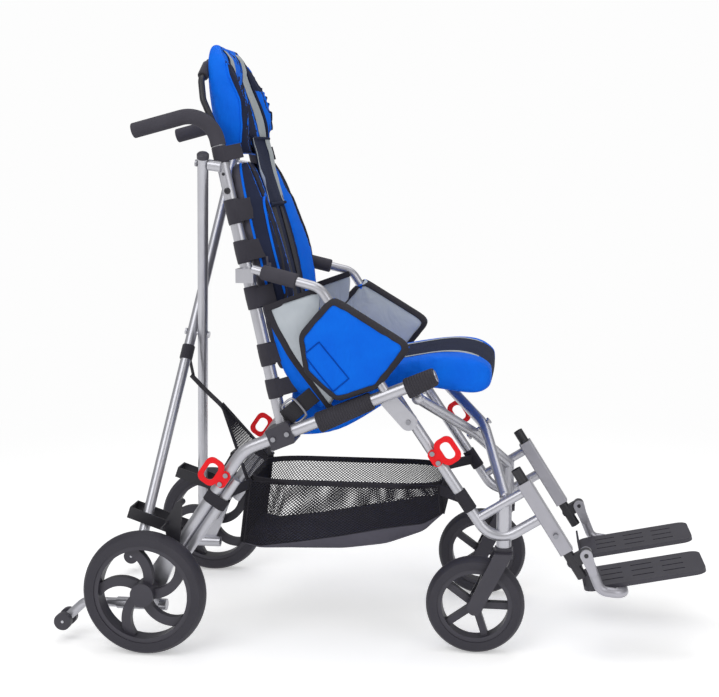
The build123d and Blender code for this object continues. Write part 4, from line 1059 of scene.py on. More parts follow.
@dataclass
class BackPad(Cushion):
    """Back cushion: navy middle, blue sides, a navy gusset between blue pipings and a dark rear cover."""

    stripe_y_mm: float = 75.0
    stripe_width_mm: float = 28.0
    margin_mm: float = 8.0
    panel_low_mm: float = 456.0
    panel_top_mm: tuple[float, ...] = (1008.0, 1020.0, 1031.0, 1040.0)
    panel_gap_mm: float = 8.0
    panel_lift_mm: float = 2.0
    head_gap_mm: float = 5.0
    columns: int = 14
    lowest_run_mm: float = 122.0
    highest_run_mm: float = 546.0
    half_mm: float = 166.0
    top_taper: Spot = (0.62, 34.0)
    foot_taper: Spot = (0.3, 14.0)
    ray_rise_m: float = 0.07
    tape_ray_m: float = 0.2
    piping_reach_mm: Spot = (30.0, 62.0)
    least_out_m: float = 0.11
    gusset_low_mm: float = 690.0
    strap_y_mm: float = 40.0
    strap_low_mm: float = 215.0
    strap_width_mm: float = 38.0
    ring_mm: Line = ((-21, 2), (21, 2), (21, -14), (-21, -14))
    ring_lift_mm: float = 5.0

    def ahead_of_cane(self, place: Vector) -> float:
        """Give how far a point lies ahead of the line of the canes, in millimetres.

        Args:
            place: The point.

        Returns:
            The distance, square to the canes.
        """
        along = CANE.direction(self.stroller.site, Side.RIGHT)
        along = Vector((along.x, 0.0, along.z)).normalized()
        ahead = Vector((along.z, 0.0, -along.x))
        return (place - CANE.point(self.stroller.site, Side.RIGHT, 0.0)).dot(ahead) / MM

    def sewn(self, place: Vector) -> bool:
        """Tell whether a point lies on a seam of the front face."""
        front = self.ahead_of_cane(place) > self.piping_reach_mm[0]
        return front and abs(abs(place.y) - self.stripe_y_mm * MM) < SEAM_MM * MM

    def panel(self, middle: Vector, normal: Vector) -> int:
        """Give the panel of a face: blue, navy or the dark rear cover.

        Args:
            middle: Middle of the face.
            normal: Normal of the face.

        Returns:
            Number of the panel's finish.
        """
        reach = self.ahead_of_cane(middle)
        if normal.x < -0.4 or (reach < self.piping_reach_mm[0] and abs(normal.y) > 0.3):
            return 2
        if normal.y * math.copysign(1, middle.y) > -0.05:
            return 1 if middle.z > self.gusset_low_mm * MM else 0
        return 1 if abs(middle.y) < self.inner_y else 0

    @property
    def inner_y(self) -> float:
        """Half width of the navy middle, in metres."""
        return (self.stripe_y_mm + self.margin_mm) * MM

    def build(self) -> None:
        """Make the cushion with its pipings, straps and upper panel."""
        padding = Padding(3.0, 6.5, 4.0, 8.0)
        ride = (ROOT_BODY, "navy_fabric")
        cuts = [side.value * self.inner_y for side in Side]
        finishes = (BLUE, NAVY, PAN_CLOTH)
        pad, surface = self.stuff("back_pad", "back_cushion", padding, finishes, ride, cuts=cuts)
        for side in Side:
            rays = [self.front_ray(run, side.value * self.edge_y(run) * MM) for run in self.runs(36)]
            edge = surface.lay(rays)
            self.span(self.cordon(f"{side.prefix}_back_binding", edge, 3.0, BINDING), "navy_fabric")
            for number, reach in enumerate(self.piping_reach_mm):
                self.piping(surface, side, number, reach)
            self.shoulder_strap(surface, side)
        self.upper_panel(surface)
        subdivide(pad)
        fold_with_frame(pad)

    def runs(self, steps: int) -> list[float]:
        """Give even runs along the canes from the bottom of the cushion to its top."""
        return even(self.lowest_run_mm, self.highest_run_mm, steps)

    def front_ray(self, run: float, y: float) -> Ray:
        """Aim at the front face at a run along the canes and a side offset in metres."""
        spot = CANE.point(self.stroller.site, Side.RIGHT, run)
        return Vector((spot.x + RAY_M, y, spot.z + self.ray_rise_m)), -CANE_AHEAD

    def edge_y(self, run: float) -> float:
        """Give the half width of the front face at a run along the canes, inside its rounded edge.

        Args:
            run: Distance along the canes, in millimetres.

        Returns:
            The half width, in millimetres.
        """
        share = (run - self.lowest_run_mm) / (self.highest_run_mm - self.lowest_run_mm)
        (high, top), (low, foot) = self.top_taper, self.foot_taper
        return self.half_mm - top * max(share - high, 0) / (1 - high) - foot * max(low - share, 0) / low

    def upper_panel(self, surface: Surface) -> None:
        """Sew on the upper panel, which reaches over the foot of the head support, with hems and tapes.

        Args:
            surface: Outside of the cushion.
        """
        head = Surface(self.stroller.nodes["head_pad"])
        across = even(-self.inner_y, self.inner_y, self.columns)
        rows = []
        for run in self.runs(24):
            found = surface.lay(self.front_ray(run, y) for y in across)
            inside = self.panel_low_mm < run < self.highest_run_mm - self.panel_gap_mm
            if inside and len(found) == len(across):
                rows.append([place + normal * (self.panel_lift_mm * MM) for place, normal in found])
        for z in self.panel_top_mm:
            found = head.lay((Vector((self.at(500, 0, 0).x, y, z * MM)), -AHEAD) for y in across)
            rows.append([place + AHEAD * (self.head_gap_mm * MM) for place, _ in found])
        panel, area = sew_sheet("back_upper_panel", rows, 3.0, self.look(NAVY))
        tall = run_length([row[self.columns // 2] for row in rows])
        pieces = [(panel, "navy_fabric")]
        for name, row in (("low", rows[0]), ("top", rows[-1])):
            laid = [(place + AHEAD * (self.panel_lift_mm * MM), AHEAD) for place in row]
            pieces.append((self.cordon(f"back_panel_{name}_hem", laid, 3.4, NAVY), "navy_fabric"))
        front = Surface(panel)
        for side in Side:
            y = side.value * self.stripe_y_mm * MM
            laid = front.lay((Vector((row[0].x + self.tape_ray_m, y, row[0].z)), -AHEAD) for row in rows)
            size = (self.stripe_width_mm, TAPE_MM)
            tape = front.tape(f"{side.prefix}_back_tape", laid, size, self.look(STRIPE))
            pieces.append((tape, "grey_fabric"))
        for piece, slot in pieces:
            self.span(piece, slot)

    def shoulder_strap(self, surface: Surface, side: Side) -> None:
        """Run a webbing strap down from the upper panel, with a ring at its end.

        Args:
            surface: Outside of the cushion.
            side: Side of the stroller.
        """
        runs = [run for run in self.runs(40) if self.strap_low_mm < run < self.panel_low_mm]
        laid = surface.lay(self.front_ray(run, side.value * self.strap_y_mm * MM) for run in runs)
        size = (self.strap_width_mm, WEBBING_MM)
        webbing = surface.tape(f"{side.prefix}_shoulder_strap", laid, size, self.look(WEBBING))
        place, normal = laid[0]
        along = (laid[1][0] - place).normalized()
        across = along.cross(normal).normalized()
        centre = place + normal * (self.ring_lift_mm * MM)
        loop = [centre + across * (a * MM) + along * (b * MM) for a, b in self.ring_mm]
        path = smooth_path(loop, 2, closed=True)
        ring = self.pipe(f"{side.prefix}_shoulder_ring", path, 2.2, ZINC, closed=True)
        self.span(webbing, "navy_fabric")
        self.span(ring, "steel")

    def piping(self, surface: Surface, side: Side, number: int, reach: float) -> None:
        """Lay a blue piping along the side gusset.

        Args:
            surface: Outside of the cushion.
            side: Side of the stroller.
            number: Number of the piping, from the rear.
            reach: How far it lies ahead of the canes.
        """
        rays = []
        for run in self.runs(30):
            start = CANE.point(self.stroller.site, Side.RIGHT, run) + CANE_AHEAD * (reach * MM)
            start.y = side.value * RAY_M
            rays.append((start, -side.out))
        laid = [met for met in surface.lay(rays) if met[0].y * side.value > self.least_out_m]
        self.span(self.cordon(f"{side.prefix}_back_piping_{number}", laid, 2.6, BLUE), "blue_fabric")


@dataclass
class HeadPad(Cushion):
    """Head support: navy front between wavy grey tapes, blue sides and rear."""

    stripe_y_mm: float = 68.0
    taper_mm: float = 14.0
    navy_margin_mm: float = 18.0
    wave_mm: float = 8.0
    stripe_width_mm: float = 30.0
    front_mm: float = 140.0
    middle_seam_mm: float = 3.4
    low_mm: float = 1012.0
    high_mm: float = 1216.0
    blue_top_mm: float = 1142.0
    least_out_m: float = 0.05
    side_seam_mm: Line = ((1012, 169), (1061, 176), (1111, 173), (1161, 150), (1210, 136))

    def stripe_at(self, z: float) -> float:
        """Give the side offset of the tape at a height, in metres."""
        share = (z / MM - self.low_mm) / (self.high_mm - self.low_mm)
        return (self.stripe_y_mm - self.taper_mm * share + self.wave_mm * math.sin(share * math.tau)) * MM

    def sewn(self, place: Vector) -> bool:
        """Tell whether a point lies on the seams of the front or on the middle seam.

        Args:
            place: The point.

        Returns:
            Whether it is held there.
        """
        on_tape = abs(abs(place.y) - self.stripe_at(place.z)) < SEAM_MM * MM
        in_middle = abs(place.y) < self.middle_seam_mm * MM
        return place.x > self.at(self.front_mm, 0, 0).x and (on_tape or in_middle)

    def panel(self, middle: Vector, normal: Vector) -> int:
        """Give the panel of a face: blue outside, navy in the middle of the front and over its top.

        Args:
            middle: Middle of the face.
            normal: Normal of the face.

        Returns:
            Number of the panel's finish.
        """
        if normal.y * math.copysign(1, middle.y) > -0.1:
            return 1 if middle.x > self.at(self.side_at(middle.z / MM), 0, 0).x else 0
        navy_y = self.stripe_at(middle.z) + self.navy_margin_mm * MM
        inside = middle.z > self.blue_top_mm * MM or abs(middle.y) < navy_y
        return 1 if normal.x > 0 and inside else 0

    def side_at(self, z: float) -> float:
        """Give how far ahead the seam on the side lies at a height, in millimetres.

        Args:
            z: The height, in millimetres.

        Returns:
            The distance ahead of the rear axle.
        """
        for (low, start), (high, end) in zip(self.side_seam_mm, self.side_seam_mm[1:]):
            if z < high:
                return start + (end - start) * max(z - low, 0) / (high - low)
        return self.side_seam_mm[-1][1]

    def build(self) -> None:
        """Make the pad with its tapes and side pipings."""
        padding = Padding(3.0, 5.0, 4.0, 8.0)
        ride = (ROOT_BODY, "blue_fabric")
        pad, surface = self.stuff("head_pad", "head_cushion", padding, (BLUE, NAVY), ride)
        for side in Side:
            self.stripe(surface, side)
            self.edge(surface, side)
        subdivide(pad)
        fold_with_frame(pad)

    def stripe(self, surface: Surface, side: Side) -> None:
        """Lay a grey tape, and a navy one over the seam between the navy and the blue.

        Args:
            surface: Outside of the pad.
            side: Side of the stroller.
        """
        tapes = [("head_tape", 0.0, self.stripe_width_mm, STRIPE, "grey_fabric")]
        tapes.append(("head_seam_tape", self.navy_margin_mm, 7.0, NAVY, "navy_fabric"))
        for name, margin, width, finish, slot in tapes:
            rays = []
            for z in even(self.low_mm, self.high_mm, 40):
                start = self.at(420, 0, z)
                start.y = side.value * (self.stripe_at(z * MM) + margin * MM)
                rays.append((start, -AHEAD))
            laid = [met for met in surface.lay(rays) if met[1].x > 0.1]
            tape = surface.tape(f"{side.prefix}_{name}", laid, (width, TAPE_MM), self.look(finish))
            self.span(tape, slot)

    def edge(self, surface: Surface, side: Side) -> None:
        """Lay a blue piping along the edge between the front and the side.

        Args:
            surface: Outside of the pad.
            side: Side of the stroller.
        """
        heights = even(self.low_mm, self.high_mm, 26)[2:-3]
        found = surface.lay((self.at(self.side_at(z), side.value * 300, z), -side.out) for z in heights)
        laid = [met for met in found if met[0].y * side.value > self.least_out_m]
        self.span(self.cordon(f"{side.prefix}_head_piping", laid, 2.2, BLUE), "blue_fabric")


@dataclass
class Wing(Cushion):
    """Side wing: blue outside with a sewn pocket, grey lining inside and a dark binding round it."""

    side: Side
    middle_mm: Spot = (414.0, 620.0)
    rim_mm: float = 9.0
    least_reach_mm: float = 72.0
    binding_mm: Spot = (22.0, 2.4)
    binding_share: float = 0.26
    binding_steps: int = 72
    pocket_mm: Line = ((322, 612), (353, 638), (412, 567), (380, 540))
    line_mm: Line = ((241, 698), (256, 660), (273, 632), (289, 602), (328, 551), (368, 499))
    lining_front_mm: Line = ((352, 736), (350, 706), (344, 670), (344, 630), (352, 590), (380, 520))
    skirt_rear_mm: Line = ((240, 694), (247, 656), (256, 612), (270, 566), (298, 524), (350, 494))
    lining_top_mm: tuple[tuple[float, ...], ...] = ((236, 203, 697), (300, 209, 720), (348, 213, 737))
    lining_y_mm: Spot = (199.0, 212.0)
    skirt_y_mm: Spot = (188.0, 198.0)
    line_y_mm: float = 203.0
    bulge_mm: float = 6.0
    edge_mm: Spot = (13.0, 4.0)

    def __post_init__(self) -> None:
        """Read the box of the frame's wing once."""
        self.node = f"{self.side.prefix}_wing"
        low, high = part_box(self.node)
        self.rim_y, self.depth = (low.y + high.y) / 2, high.y - low.y

    def sewn(self, place: Vector) -> bool:
        """Tell whether a point lies on the rim."""
        return abs(place.y - self.rim_y) < self.rim_mm * MM

    def panel(self, middle: Vector, normal: Vector) -> int:
        """Give the panel of a face: blue outside, grey inside."""
        return 0 if normal.y * self.side.value > -0.25 else 1

    def build(self) -> None:
        """Make the wing with its binding, pocket and lining."""
        padding = Padding(4.0, 5.0, 3.0, 7.0)
        ride = (self.side.body, "blue_fabric")
        finishes = (BLUE, GREY_CLOTH)
        pad, surface = self.stuff(self.node, f"{self.node}_pad", padding, finishes, ride, fill=0.6)
        self.binding(surface)
        self.pocket(surface)
        self.lining()
        subdivide(pad)

    def binding(self, surface: Surface) -> None:
        """Lay the dark binding round the rim, on the outer and the inner face.

        Args:
            surface: Outside of the wing.
        """
        middle = self.at(self.middle_mm[0], 0, self.middle_mm[1])
        angles = even(0.0, math.tau, self.binding_steps)[:-1]
        for name, share in (("outer", self.binding_share), ("inner", -self.binding_share)):
            middle.y = self.rim_y + self.side.value * share * self.depth
            found = surface.lay(inward_ray(middle, angle) for angle in angles)
            laid = [met for met in found if (met[0] - middle).length > self.least_reach_mm * MM]
            name = f"{self.node}_{name}_binding"
            tape = surface.tape(name, laid, self.binding_mm, self.look(BINDING), closed=True)
            self.carry(tape, self.side.body, "navy_fabric")

    def pocket(self, surface: Surface) -> None:
        """Sew the pocket's outline on the outer face.

        Args:
            surface: Outside of the wing.
        """
        corners = [self.at(ahead, self.side.value * 400, z) for ahead, z in self.pocket_mm]
        route = []
        for start, end in zip(corners, corners[1:] + corners[:1]):
            route += [start.lerp(end, number / 10) for number in range(10)]
        laid = surface.lay((spot, -self.side.out) for spot in route)
        seam = self.cordon(f"{self.node}_pocket_seam", laid, 1.5, SEAM, closed=True)
        self.carry(seam, self.side.body, "blue_fabric")

    def sheet(
        self, name: str, lines: tuple[Line, Line], y_mm: Spot, finish: Finish, slot: str
    ) -> None:
        """Stretch a cloth between two lines.

        Args:
            name: Name of the cloth, without its side.
            lines: Its rear and its front line, as ahead and height, with as many points.
            y_mm: How far out the two lines lie.
            finish: Its finish.
            slot: Its slot of the record.
        """
        rows = []
        for share in even(0.0, 1.0, 8):
            out = self.side.value * (between(*y_mm, share) + self.bulge_mm * math.sin(math.pi * share))
            spots = [(between(a[0], b[0], share), between(a[1], b[1], share)) for a, b in zip(*lines)]
            rows.append([self.at(ahead, out, z) for ahead, z in spots])
        cloth, area = sew_sheet(f"{self.side.prefix}_{name}", rows, 2.0, self.look(finish))
        wide, tall = (rows[-1][0] - rows[0][0]).length, run_length(rows[4])
        self.carry(cloth, self.side.body, slot)
        max(wide, area / tall)

    def lining(self) -> None:
        """Hang the grey lining and the blue skirt on the bound line between the cane and the wing."""
        lines = (self.line_mm, self.lining_front_mm)
        self.sheet("wing_lining", lines, self.lining_y_mm, GREY_CLOTH, "grey_fabric")
        lines = (self.skirt_rear_mm, self.line_mm)
        self.sheet("wing_skirt", lines, self.skirt_y_mm, BLUE, "blue_fabric")
        line = [(ahead, self.line_y_mm, z) for ahead, z in self.line_mm]
        for name, spots in (("line_binding", line), ("lining_binding", self.lining_top_mm)):
            route = smooth_path([self.at(ahead, self.side.value * y, z) for ahead, y, z in spots], 2)
            edge = strap(f"{self.side.prefix}_{name}", route, self.side.out, self.edge_mm, self.look(BINDING))
            self.carry(edge, self.side.body, "navy_fabric")


@dataclass
class CaneBands(Assembly):
    """Hook-and-loop bands that hold the back to a cane, each with a flap that runs to the rear cover."""

    side: Side
    bands_mm: Line = ((571, 34), (455, 50), (373, 46), (279, 46), (162, 46))
    sleeve_mm: Spot = (92.0, 40.0)
    wrap_mm: float = 2.6
    flap_reach_mm: float = 44.0

    def build(self) -> None:
        """Wrap the bands and the lower sleeve, each with its flap."""
        names = [f"band_{number}" for number in range(len(self.bands_mm))] + ["cane_sleeve"]
        for number, (name, (run, length)) in enumerate(zip(names, (*self.bands_mm, self.sleeve_mm))):
            start = CANE.point(self.stroller.site, self.side, run)
            along = CANE.direction(self.stroller.site, self.side)
            profile = CANE.wrap(self.wrap_mm, length, (2, 0.6), 0.5)
            name = f"{self.side.prefix}_{name}"
            self.turn(name, profile, (start, along), HOOK_LOOP, self.side.body, "black_foam")
            self.flap(number, start, along, length)

    def flap(self, number: int, start: Vector, along: Vector, length: float) -> None:
        """Run the loose end of a band forward to the back's cover.

        Args:
            number: Number of the band.
            start: Middle of the band.
            along: Direction of the cane.
            length: Length of the band.
        """
        ahead = Vector((along.z, 0, -along.x)).normalized()
        radius = CANE.radius + self.wrap_mm
        turns = [(0.0, radius), (radius * 0.75, radius * 0.75), (radius + 8, 4.0)]
        turns.append((self.flap_reach_mm, -6.0))
        route = smooth_path([start + ahead * (a * MM) + self.side.out * (b * MM) for a, b in turns], 2)
        name = f"{self.side.prefix}_flap_{number}"
        piece = strap(name, route, along.cross(ahead), (length * 0.86, 2.0), self.look(HOOK_LOOP))
        self.carry(piece, self.side.body, "black_foam")


@dataclass
class RailSleeves(Assembly):
    """Ribbed cloth sleeves over foam on a seat rail."""

    side: Side
    spans_mm: Line = ((162.0, 280.0), (352.0, 415.0))
    wrap_mm: float = 5.0
    sag_mm: float = 7.0

    def build(self) -> None:
        """Pull the sleeves over the rail."""
        along = RAIL.direction(self.stroller.site, self.side)
        under = Vector((along.z, 0, -along.x))
        outer = (RAIL.radius + self.wrap_mm) * MM
        for number, (start, end) in enumerate(self.spans_mm):
            origin = RAIL.point(self.stroller.site, self.side, (start + end) / 2)
            shape = bmesh.new()
            for vertex in turned(shape, RAIL.wrap(self.wrap_mm, end - start, (3, 1.5), 0.0), origin, along):
                offset = vertex.co - origin
                low = max(offset.dot(under) / outer, 0.0)
                rear = 0.5 - offset.dot(along) / ((end - start) * MM)
                if offset.cross(along).length > (RAIL.radius + 1) * MM:
                    vertex.co += under * (low * rear * self.sag_mm * MM)
            piece = make_piece(f"{self.side.prefix}_rail_sleeve_{number}", shape, [self.look(RIB_CLOTH)])
            self.carry(piece, self.side.body, "black_foam")


@dataclass
class LapStrap(Assembly):
    """Lap strap at the foot of a cane: webbing through a steel ladder ring."""

    side: Side
    middle_mm: Spot = (297.0, 494.0)
    ring_mm: Spot = (48.0, 33.0)
    corner_mm: float = 6.0
    lean_deg: float = 40.0
    out_mm: float = 215.0
    wire_mm: float = 2.6
    webbing_mm: Spot = (34.0, WEBBING_MM)

    def spot(self, along: float, across: float, out: float) -> Vector:
        """Give a place from distances along and across the webbing and out from the ring.

        Args:
            along: Distance along the webbing.
            across: Distance across it.
            out: Distance further out than the ring.

        Returns:
            The place, in metres.
        """
        turn = math.radians(self.lean_deg)
        ahead = self.middle_mm[0] + along * math.cos(turn) + across * math.sin(turn)
        z = self.middle_mm[1] + along * math.sin(turn) - across * math.cos(turn)
        return self.at(ahead, self.side.value * (self.out_mm + out), z)

    def build(self) -> None:
        """Bend the ring and thread the webbing through it."""
        long, short, cut = self.ring_mm[0] / 2, self.ring_mm[1] / 2, self.corner_mm
        corners = [(short, long - cut), (short, cut - long), (short - cut, -long), (cut - short, -long)]
        corners += [(-a, -b) for a, b in corners]
        loop = smooth_path([self.spot(a, b, 0.0) for a, b in corners], 2, closed=True)
        ring = self.pipe(f"{self.side.prefix}_lap_ring", loop, self.wire_mm, ZINC, closed=True)
        self.carry(ring, self.side.body, "steel")
        behind = [(-20, -20), (-8, -4), (-3, 4), (4, 5)]
        before = [(-7, -1), (0, -5), (12, -8), (34, -14)]
        route = [(a - short, out) for a, out in behind] + [(0.0, 4)]
        route += [(a + short, out) for a, out in before]
        places = smooth_path([self.spot(a, 0.0, out) for a, out in route], 2)
        name = f"{self.side.prefix}_lap_webbing"
        webbing = strap(name, places, self.side.out, self.webbing_mm, self.look(WEBBING))
        self.carry(webbing, self.side.body, "navy_fabric")


@dataclass
class Basket(Assembly):
    """Net basket: black hem, net walls, a dark solid pan and a net flap that a strap holds up to a brace."""

    rim_mm: Spot = (177.0, 586.0)
    rim_z_mm: float = 328.0
    hem_mm: Spot = (12.0, 4.0)
    half_mm: float = 116.0
    floor_ahead_mm: tuple[float, ...] = (160.0, 200.0, 290.0, 380.0, 470.0, 550.0, 592.0)
    floor_z_mm: tuple[float, ...] = (188.0, 174.0, 175.0, 177.0, 190.0, 222.0, 266.0)
    pan_side_mm: tuple[float, ...] = (3.0, 9.0, 22.0, 36.0, 42.0, 22.0, 3.0)
    pan_sag_mm: float = 5.0
    net_top: float = 0.96
    side_levels: int = 19
    cell_mm: float = 7.0
    yarn_mm: float = 2.5
    flap_yarn_mm: float = 1.1
    apex_mm: Spot = (96.0, 462.0)
    apex_half_mm: float = 5.0
    strap_top_mm: Spot = (28.0, 528.0)
    hanger_z_mm: float = 580.0
    tab_z_mm: float = 316.0
    doubler_mm: float = 22.0

    def build(self) -> None:
        """Sew the basket and hang it up."""
        self.hem()
        self.pan()
        self.nets()
        for side in Side:
            self.tabs(side)
        self.flap()

    def along(self, values: Sequence[float], share: float) -> float:
        """Read a row of values at a share of its length.

        Args:
            values: The row.
            share: Share of the row's length.

        Returns:
            The value there.
        """
        place = share * (len(values) - 1)
        number = min(int(place), len(values) - 2)
        return between(values[number], values[number + 1], place - number)

    def wall_at(self, share: float, up: float) -> Spot:
        """Give the ahead and height of the side wall at shares of its length and height."""
        ahead, z = self.along(self.floor_ahead_mm, share), self.along(self.floor_z_mm, share)
        return between(ahead, between(*self.rim_mm, share), up), between(z, self.rim_z_mm, up)

    def tape(self, name: str, route: Sequence[Vector], facing: Vector, width_mm: float) -> None:
        """Sew a black tape along a route."""
        self.span(strap(name, route, facing, (width_mm, 2.4), self.look(BINDING)), "grey_fabric")

    def hem(self) -> None:
        """Sew the hem round the rim, with a tape down each corner."""
        z, half, rear, front = self.rim_z_mm - self.hem_mm[0] / 2, self.half_mm + 1, *self.rim_mm
        spots = [(rear, 0), (rear, half), ((rear + front) / 2, half), (front, half), (front, 0)]
        spots += [(ahead, -y) for ahead, y in reversed(spots[1:4])]
        route = smooth_path([self.at(ahead, y, z) for ahead, y in spots], 3, closed=True)
        facing = []
        for number in range(len(route)):
            before, after = neighbours(route, number, closed=True)
            facing.append((after - before).cross(UP).normalized())
        hem = strap("basket_hem", route, facing, self.hem_mm, self.look(BINDING), closed=True)
        self.span(hem, "grey_fabric")
        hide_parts("basket")
        for side in Side:
            for name, share, way in (("rear", 0.0, -1.0), ("front", 1.0, 1.0)):
                spots = [self.wall_at(share, up) for up in even(0.0, 1.0, 6)]
                corner = [self.at(a - way * 3, side.value * (self.half_mm - 3), z) for a, z in spots]
                facing = Vector((way, side.value, 0)).normalized()
                self.tape(f"{side.prefix}_basket_{name}_tape", corner, facing, 14.0)

    def pan(self) -> None:
        """Sew the solid pan."""
        rows = []
        half = self.half_mm
        for share in even(0.0, 1.0, 24):
            ahead, z = self.wall_at(share, 0.0)
            sag = self.pan_sag_mm * math.sin(math.pi * share)
            rise = self.along(self.pan_side_mm, share)
            spots = [(half + 1, rise), (half + 0.5, rise * 0.45), (half - 10, 1.0)]
            spots += [(half / 2, -sag * 0.5), (0, -sag)]
            spots = [(-y, up) for y, up in spots] + list(reversed(spots[:-1]))
            rows.append([self.at(ahead, y, z + up) for y, up in spots])
        pan, area = sew_sheet("basket_pan", rows, 2.4, self.look(PAN_CLOTH))
        self.span(pan, "grey_fabric")
        length = run_length([row[4] for row in rows])

    def net(self, name: str, rows: Rows, yarn_mm: float) -> None:
        """Knot a net over a grid of places.

        Args:
            name: Name of the piece.
            rows: Places of the grid.
            yarn_mm: Thickness of the yarn, drawn coarser than real with the mesh, so that both show.
        """
        shape = bmesh.new()
        loft_rows(shape, rows)
        grid = list(shape.edges)
        bmesh.ops.poke(shape, faces=list(shape.faces))
        inner = [edge for edge in grid if edge.is_valid and not edge.is_boundary]
        bmesh.ops.dissolve_edges(shape, edges=inner, use_verts=False)
        form = {"use_replace": True, "use_boundary": True, "use_even_offset": False}
        bmesh.ops.wireframe(shape, faces=list(shape.faces), thickness=yarn_mm * MM, **form)
        self.span(make_piece(name, shape, [self.look(NET_YARN)]), "grey_fabric")

    def nets(self) -> None:
        """Knot the side, rear and front walls."""
        shares = even(0.0, 1.0, round((self.rim_mm[1] - self.rim_mm[0]) / self.cell_mm))
        walls = [self.rim_z_mm - self.along(self.floor_z_mm, share) for share in shares]
        feet = [self.along(self.pan_side_mm, share) / wall for share, wall in zip(shares, walls)]
        for side in Side:
            rows = []
            for up in even(0.0, 1.0, self.side_levels):
                ups = [between(foot, self.net_top, up) for foot in feet]
                spots = [self.wall_at(share, at_up) for share, at_up in zip(shares, ups)]
                rows.append([self.at(ahead, side.value * self.half_mm, z) for ahead, z in spots])
            self.net(f"{side.prefix}_basket_net", rows, self.yarn_mm)
        across = even(-self.half_mm, self.half_mm, round(2 * self.half_mm / self.cell_mm))
        for name, share, levels in (("rear", 0.0, self.side_levels), ("front", 1.0, 8)):
            spots = [self.wall_at(share, up) for up in even(0.0, self.net_top, levels)]
            rows = [[self.at(ahead, y, z) for y in across] for ahead, z in spots]
            self.net(f"basket_{name}_net", rows, self.yarn_mm)

    def tabs(self, side: Side) -> None:
        """Loop a tab round the rear leg with its doubler, and one round the front leg.

        Args:
            side: Side of the stroller.
        """
        site = self.stroller.site
        leg, way = LEG.at_height(site, side, self.tab_z_mm), LEG.direction(site, side)
        square = Vector((way.z, 0, -way.x))
        doubler = square * (self.doubler_mm * MM)
        route, facing = [], []
        for angle in even(0.0, math.tau, 32)[:-1]:
            outward = square.normalized() * math.cos(angle) + Vector((0, math.sin(angle), 0))
            centre = leg + doubler if math.cos(angle) > 0 else leg
            route.append(centre + outward * ((LEG.radius + 1.6) * MM))
            facing.append(outward)
        name = f"{side.prefix}_rear_tab_loop"
        loop = strap(name, route, facing, (24.0, 2.2), self.look(BINDING), closed=True)
        self.carry(loop, side.body, "grey_fabric")
        front = FRONT_LEG.at_height(site, side, self.tab_z_mm)
        around = (front, FRONT_LEG.direction(site, side))
        name = f"{side.prefix}_front_tab_loop"
        self.turn(name, FRONT_LEG.wrap(2.6, 44.0), around, BINDING, side.body, "grey_fabric")
        ends = {"rear": (self.rim_mm[0] + 3, leg + doubler), "front": (self.rim_mm[1] - 3, front)}
        for name, (rim, tube) in ends.items():
            start = self.at(rim, side.value * (self.half_mm - 2), self.tab_z_mm)
            end = Vector((tube.x, tube.y - side.value * 10 * MM, self.tab_z_mm * MM))
            flat = (end - start).cross(UP).normalized()
            self.tape(f"{side.prefix}_{name}_tab", [start, start.lerp(end, 0.5), end], flat, 22.0)

    def flap(self) -> None:
        """Hang the net flap behind the rear rim, and strap its point to the brace."""
        low, high = (self.rim_mm[0], self.rim_z_mm - self.hem_mm[0] / 2), self.apex_mm
        top = self.strap_top_mm
        rows = []
        for share in even(0.0, 1.0, 16):
            half = between(self.half_mm, self.apex_half_mm, share)
            ahead, z = between(low[0], high[0], share), between(low[1], high[1], share)
            rows.append([self.at(ahead, y, z) for y in even(-half, half, 20)])
        self.net("basket_flap_net", rows, self.flap_yarn_mm)
        for side, column in ((Side.RIGHT, 0), (Side.LEFT, -1)):
            edge = [row[column] for row in rows]
            self.tape(f"{side.prefix}_flap_tape", edge, Vector((-0.869, 0, -0.495)), 15.0)
        middle = ((high[0] + top[0]) / 2, (high[1] + top[1]) / 2 - 2)
        spots = [(high[0] + 6, high[1] - 10), high, middle, top]
        route = smooth_path([self.at(ahead, 0, z) for ahead, z in spots], 2)
        self.tape("flap_strap", route, Vector((-0.5, -0.75, -0.43)), 16.0)
        name = "rear_brace_b"
        brace, site = BRACES[name], self.stroller.site
        around = brace.at_height(site, Side.LEFT, self.hanger_z_mm)
        rise = [self.at(top[0] + 4, 0, top[1] - 6), around + Vector((0, 0.012, -0.012))]
        hanger = strap("flap_hanger", rise, Vector((-0.75, -0.6, -0.2)), (14.0, 2.4), self.look(BINDING))
        self.carry(hanger, name, "grey_fabric")
        way = (around, brace.direction(site, Side.LEFT))
        self.turn("flap_band", brace.wrap(2.8, 32.0, (2, 1)), way, HOOK_LOOP, name, "black_foam")


